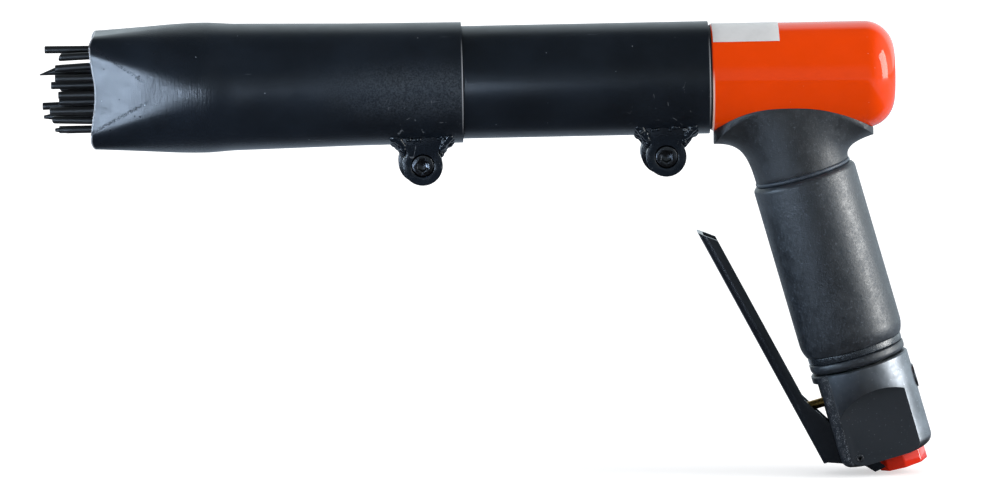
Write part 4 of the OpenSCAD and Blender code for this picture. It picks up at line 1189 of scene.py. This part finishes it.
class SCALER_OT_stage(bpy.types.Operator):
    """Lay the pale floor and set the soft lights, the world and the camera"""
    bl_idname = "scaler.stage"
    bl_label = "Stage"

    yaw: angle("Yaw", "Camera angle from square on, towards the closed end", -1.2)
    elevation: angle("Elevation", "Camera angle above the barrel", 7)
    roll: angle("Roll", "Camera turn about its own axis", -1.06)
    distance: length("Distance", "Camera distance", 3098 * MM)
    view_width: length("View width", "Width of the picture at the tool", 1000 / 2.4966 * MM)
    target: bpy.props.FloatVectorProperty(name="Target", description="Point at the middle of the picture",
                                          default=(-131.6 * MM, 0, 6.4 * MM), subtype="XYZ")

    fill: level("Fill", "Even light on all sides", 0.60)
    dim: level("Dim", "Brightness that reflections see in front", 0.06)
    back_glow: level("Back glow", "Brightness that reflections see behind the tool", 1.15)
    front_glow: level("Front glow", "Soft glow beside the camera in reflections", 0.24)
    side_glow: level("Side glow", "Bright panels at the sides in reflections", 1.8)
    patch_glow: level("Patch glow", "Lit patch of the floor that the nozzle mirrors", 6.0)
    floor_glow: level("Floor glow", "Lift of the floor to white in view", 0.52)

    # Name, place, aim, width, height, watts, tint and spread in degrees
    LAMPS = (("front_left_light", (-0.60, -0.97, -0.005), (-0.285, 0, 0.074), 0.16, 0.14, 0.095,
              (0.62, 0.78, 1), 24),
             ("right_light", (1.45, -0.33, 0.40), (0, 0, 0), 0.75, 1.3, 25, (1, 0.99, 0.97), 180),
             ("left_light", (-1.75, -0.2, 0.3), (0, 0, 0), 0.35, 0.7, 8, (0.5, 0.72, 1), 180))

    # Red, green and blue of what reflections see of the world
    COOL = (0.80, 0.93, 1)

    # Red, green and blue of the floor in reflections: pale in front of the tool, dark under and behind it
    FLOOR_TONES = (("Red", 0.48, 0.05), ("Green", 0.57, 0.05), ("Blue", 0.68, 0.055))

    def soft_light(self, name, place, aim, width, height, power, tint, spread):
        lamp = bpy.data.lights.new(name, "AREA")
        lamp.spread = math.radians(spread)
        lamp.shape = "RECTANGLE"
        lamp.size, lamp.size_y = width, height
        lamp.energy = power
        lamp.color = tint
        holder = bpy.data.objects.new(name, lamp)
        holder.location = place
        holder.rotation_euler = (Vector(aim) - Vector(place)).to_track_quat("-Z", "Y").to_euler()
        bpy.context.scene.collection.objects.link(holder)

    def light_world(self, scene):
        """White behind the tool, dim in front of it for reflections, and an even soft light on all sides."""
        world = bpy.data.worlds.new("studio")
        scene.world = world
        world.use_nodes = True
        sky = NodeMaker(world.node_tree)
        path = sky.add("ShaderNodeLightPath").outputs
        glossy = path["Is Glossy Ray"]
        way = sky.axes(sky.add("ShaderNodeTexCoord").outputs["Generated"])
        behind = sky.span(way["Y"], 0.46, 0.70, self.dim, self.back_glow)
        ahead = sky.span(way["Y"], -0.86, -0.99, 0, self.front_glow)
        right = sky.math("ADD", sky.span(way["X"], 0.35, 0.85, 0, self.side_glow * 0.4),
                         sky.span(way["X"], 0.86, 0.95, 0, self.side_glow * 0.4))
        left = sky.span(way["X"], -0.78, -0.95, 0, self.side_glow * 0.75)
        mirrored = sky.math("ADD", sky.math("ADD", behind, ahead), sky.math("ADD", right, left))
        soft = sky.span(glossy, 0, 1, self.fill, 0)
        lit = sky.math("ADD", soft, sky.times(glossy, mirrored))
        seen = sky.math("MAXIMUM", path["Is Camera Ray"], path["Is Transmission Ray"])
        cool = [sky.span(glossy, 0, 1, 1, part) for part in self.COOL]
        tone = sky.add("ShaderNodeCombineColor", dict(enumerate(cool))).outputs[0]
        background = world.node_tree.nodes["Background"]
        sky.feed(background.inputs["Color"], tone)
        sky.feed(background.inputs["Strength"], sky.math("MAXIMUM", lit, seen))

    def lay_floor(self):
        """A floor that is white in view, and in reflections pale in front of the tool and dark behind it."""
        clear_selection()
        bpy.ops.mesh.primitive_plane_add(size=8, location=(CROSSING.x, 0, CAD_BOX[0].z - 0.5 * MM))
        floor = call_it("pale_floor")
        paper = bpy.data.materials.new("pale_floor")
        paper.use_nodes = True
        maker = NodeMaker(paper.node_tree)
        path = maker.add("ShaderNodeLightPath").outputs
        seen = maker.math("MAXIMUM", path["Is Camera Ray"], path["Is Transmission Ray"])
        spot = maker.add("ShaderNodeTexCoord").outputs["Object"]
        away = maker.add("ShaderNodeVectorMath", {0: spot}, operation="LENGTH").outputs["Value"]
        glow = maker.span(away, 0.4, 1.6, self.floor_glow, 0.85)
        shader = paper.node_tree.nodes["Principled BSDF"]
        for name, value in (("Base Color", (0.8, 0.8, 0.8, 1)), ("Roughness", 0.9), ("Specular IOR Level", 0),
                            ("Emission Color", (1, 1, 1, 1)), ("Emission Strength", maker.times(seen, glow))):
            maker.feed(shader.inputs[name], value)
        place = maker.axes(spot)
        ahead = maker.times(maker.span(place["Y"], 120 * MM, 10 * MM),
                            maker.span(place["X"], 260 * MM, 130 * MM))
        patch = maker.times(maker.span(place["X"], -420 * MM, -540 * MM),
                            maker.span(place["Y"], -200 * MM, -350 * MM))
        tones = {name: maker.span(ahead, 0, 1, plain, shaded) for name, plain, shaded in self.FLOOR_TONES}
        tone = maker.add("ShaderNodeCombineColor", tones).outputs[0]
        mirrored = maker.add("ShaderNodeBsdfPrincipled", {
            "Base Color": tone, "Specular IOR Level": 0, "Emission Color": (0.62, 0.78, 1, 1),
            "Emission Strength": maker.times(patch, self.patch_glow)})
        mix = maker.add("ShaderNodeMixShader", {0: path["Is Glossy Ray"], 1: shader.outputs[0],
                                                2: mirrored.outputs[0]})
        maker.feed(paper.node_tree.nodes["Material Output"].inputs["Surface"], mix.outputs[0])
        floor.data.materials.append(paper)

    def execute(self, context):
        scene = context.scene
        scene.view_settings.view_transform = "Standard"
        self.light_world(scene)
        self.lay_floor()
        for lamp in self.LAMPS:
            self.soft_light(*lamp)

        camera = bpy.data.cameras.new("camera")
        sensor = 36
        camera.sensor_width = sensor
        camera.lens = sensor * self.distance / self.view_width
        camera.clip_end = 50
        holder = bpy.data.objects.new("camera", camera)
        scene.collection.objects.link(holder)
        towards = Vector((math.sin(self.yaw) * math.cos(self.elevation),
                          -math.cos(self.yaw) * math.cos(self.elevation), math.sin(self.elevation)))
        look = (-towards).to_track_quat("-Z", "Y").to_matrix().to_4x4()
        holder.matrix_world = (Matrix.Translation(Vector(self.target) + towards * self.distance) @ look
                               @ Matrix.Rotation(self.roll, 4, "Z"))
        scene.camera = holder
        return {"FINISHED"}


PIECES = (SCALER_OT_housing, SCALER_OT_saddle, SCALER_OT_grip, SCALER_OT_valve_group, SCALER_OT_lever,
          SCALER_OT_rear_tube, SCALER_OT_front_tube, SCALER_OT_needles, SCALER_OT_inner_pieces,
          SCALER_OT_stage)


class SCALER_PT_panel(bpy.types.Panel):
    """Lists the pieces of the needle scaler"""
    bl_idname = "SCALER_PT_panel"
    bl_label = "Needle scaler"
    bl_space_type = "VIEW_3D"
    bl_region_type = "UI"
    bl_category = "Needle scaler"

    def draw(self, context):
        for piece in PIECES:
            self.layout.operator(piece.bl_idname)
        for group in (context.scene.scaler_sizes, context.scene.scaler_colours):
            for name in group.bl_rna.properties.keys():
                if name not in ("rna_type", "name"):
                    self.layout.prop(group, name)


CLASSES = (ScalerSizes, ScalerColours, *PIECES, SCALER_PT_panel)


def register():
    for made in CLASSES:
        bpy.utils.register_class(made)
    bpy.types.Scene.scaler_sizes = bpy.props.PointerProperty(type=ScalerSizes)
    bpy.types.Scene.scaler_colours = bpy.props.PointerProperty(type=ScalerColours)


def unregister():
    del bpy.types.Scene.scaler_colours
    del bpy.types.Scene.scaler_sizes
    for made in reversed(CLASSES):
        bpy.utils.unregister_class(made)


def main():
    register()
    for piece in PIECES:
        group, name = piece.bl_idname.split(".")
        getattr(getattr(bpy.ops, group), name)()


if __name__ == "__main__":
    main()
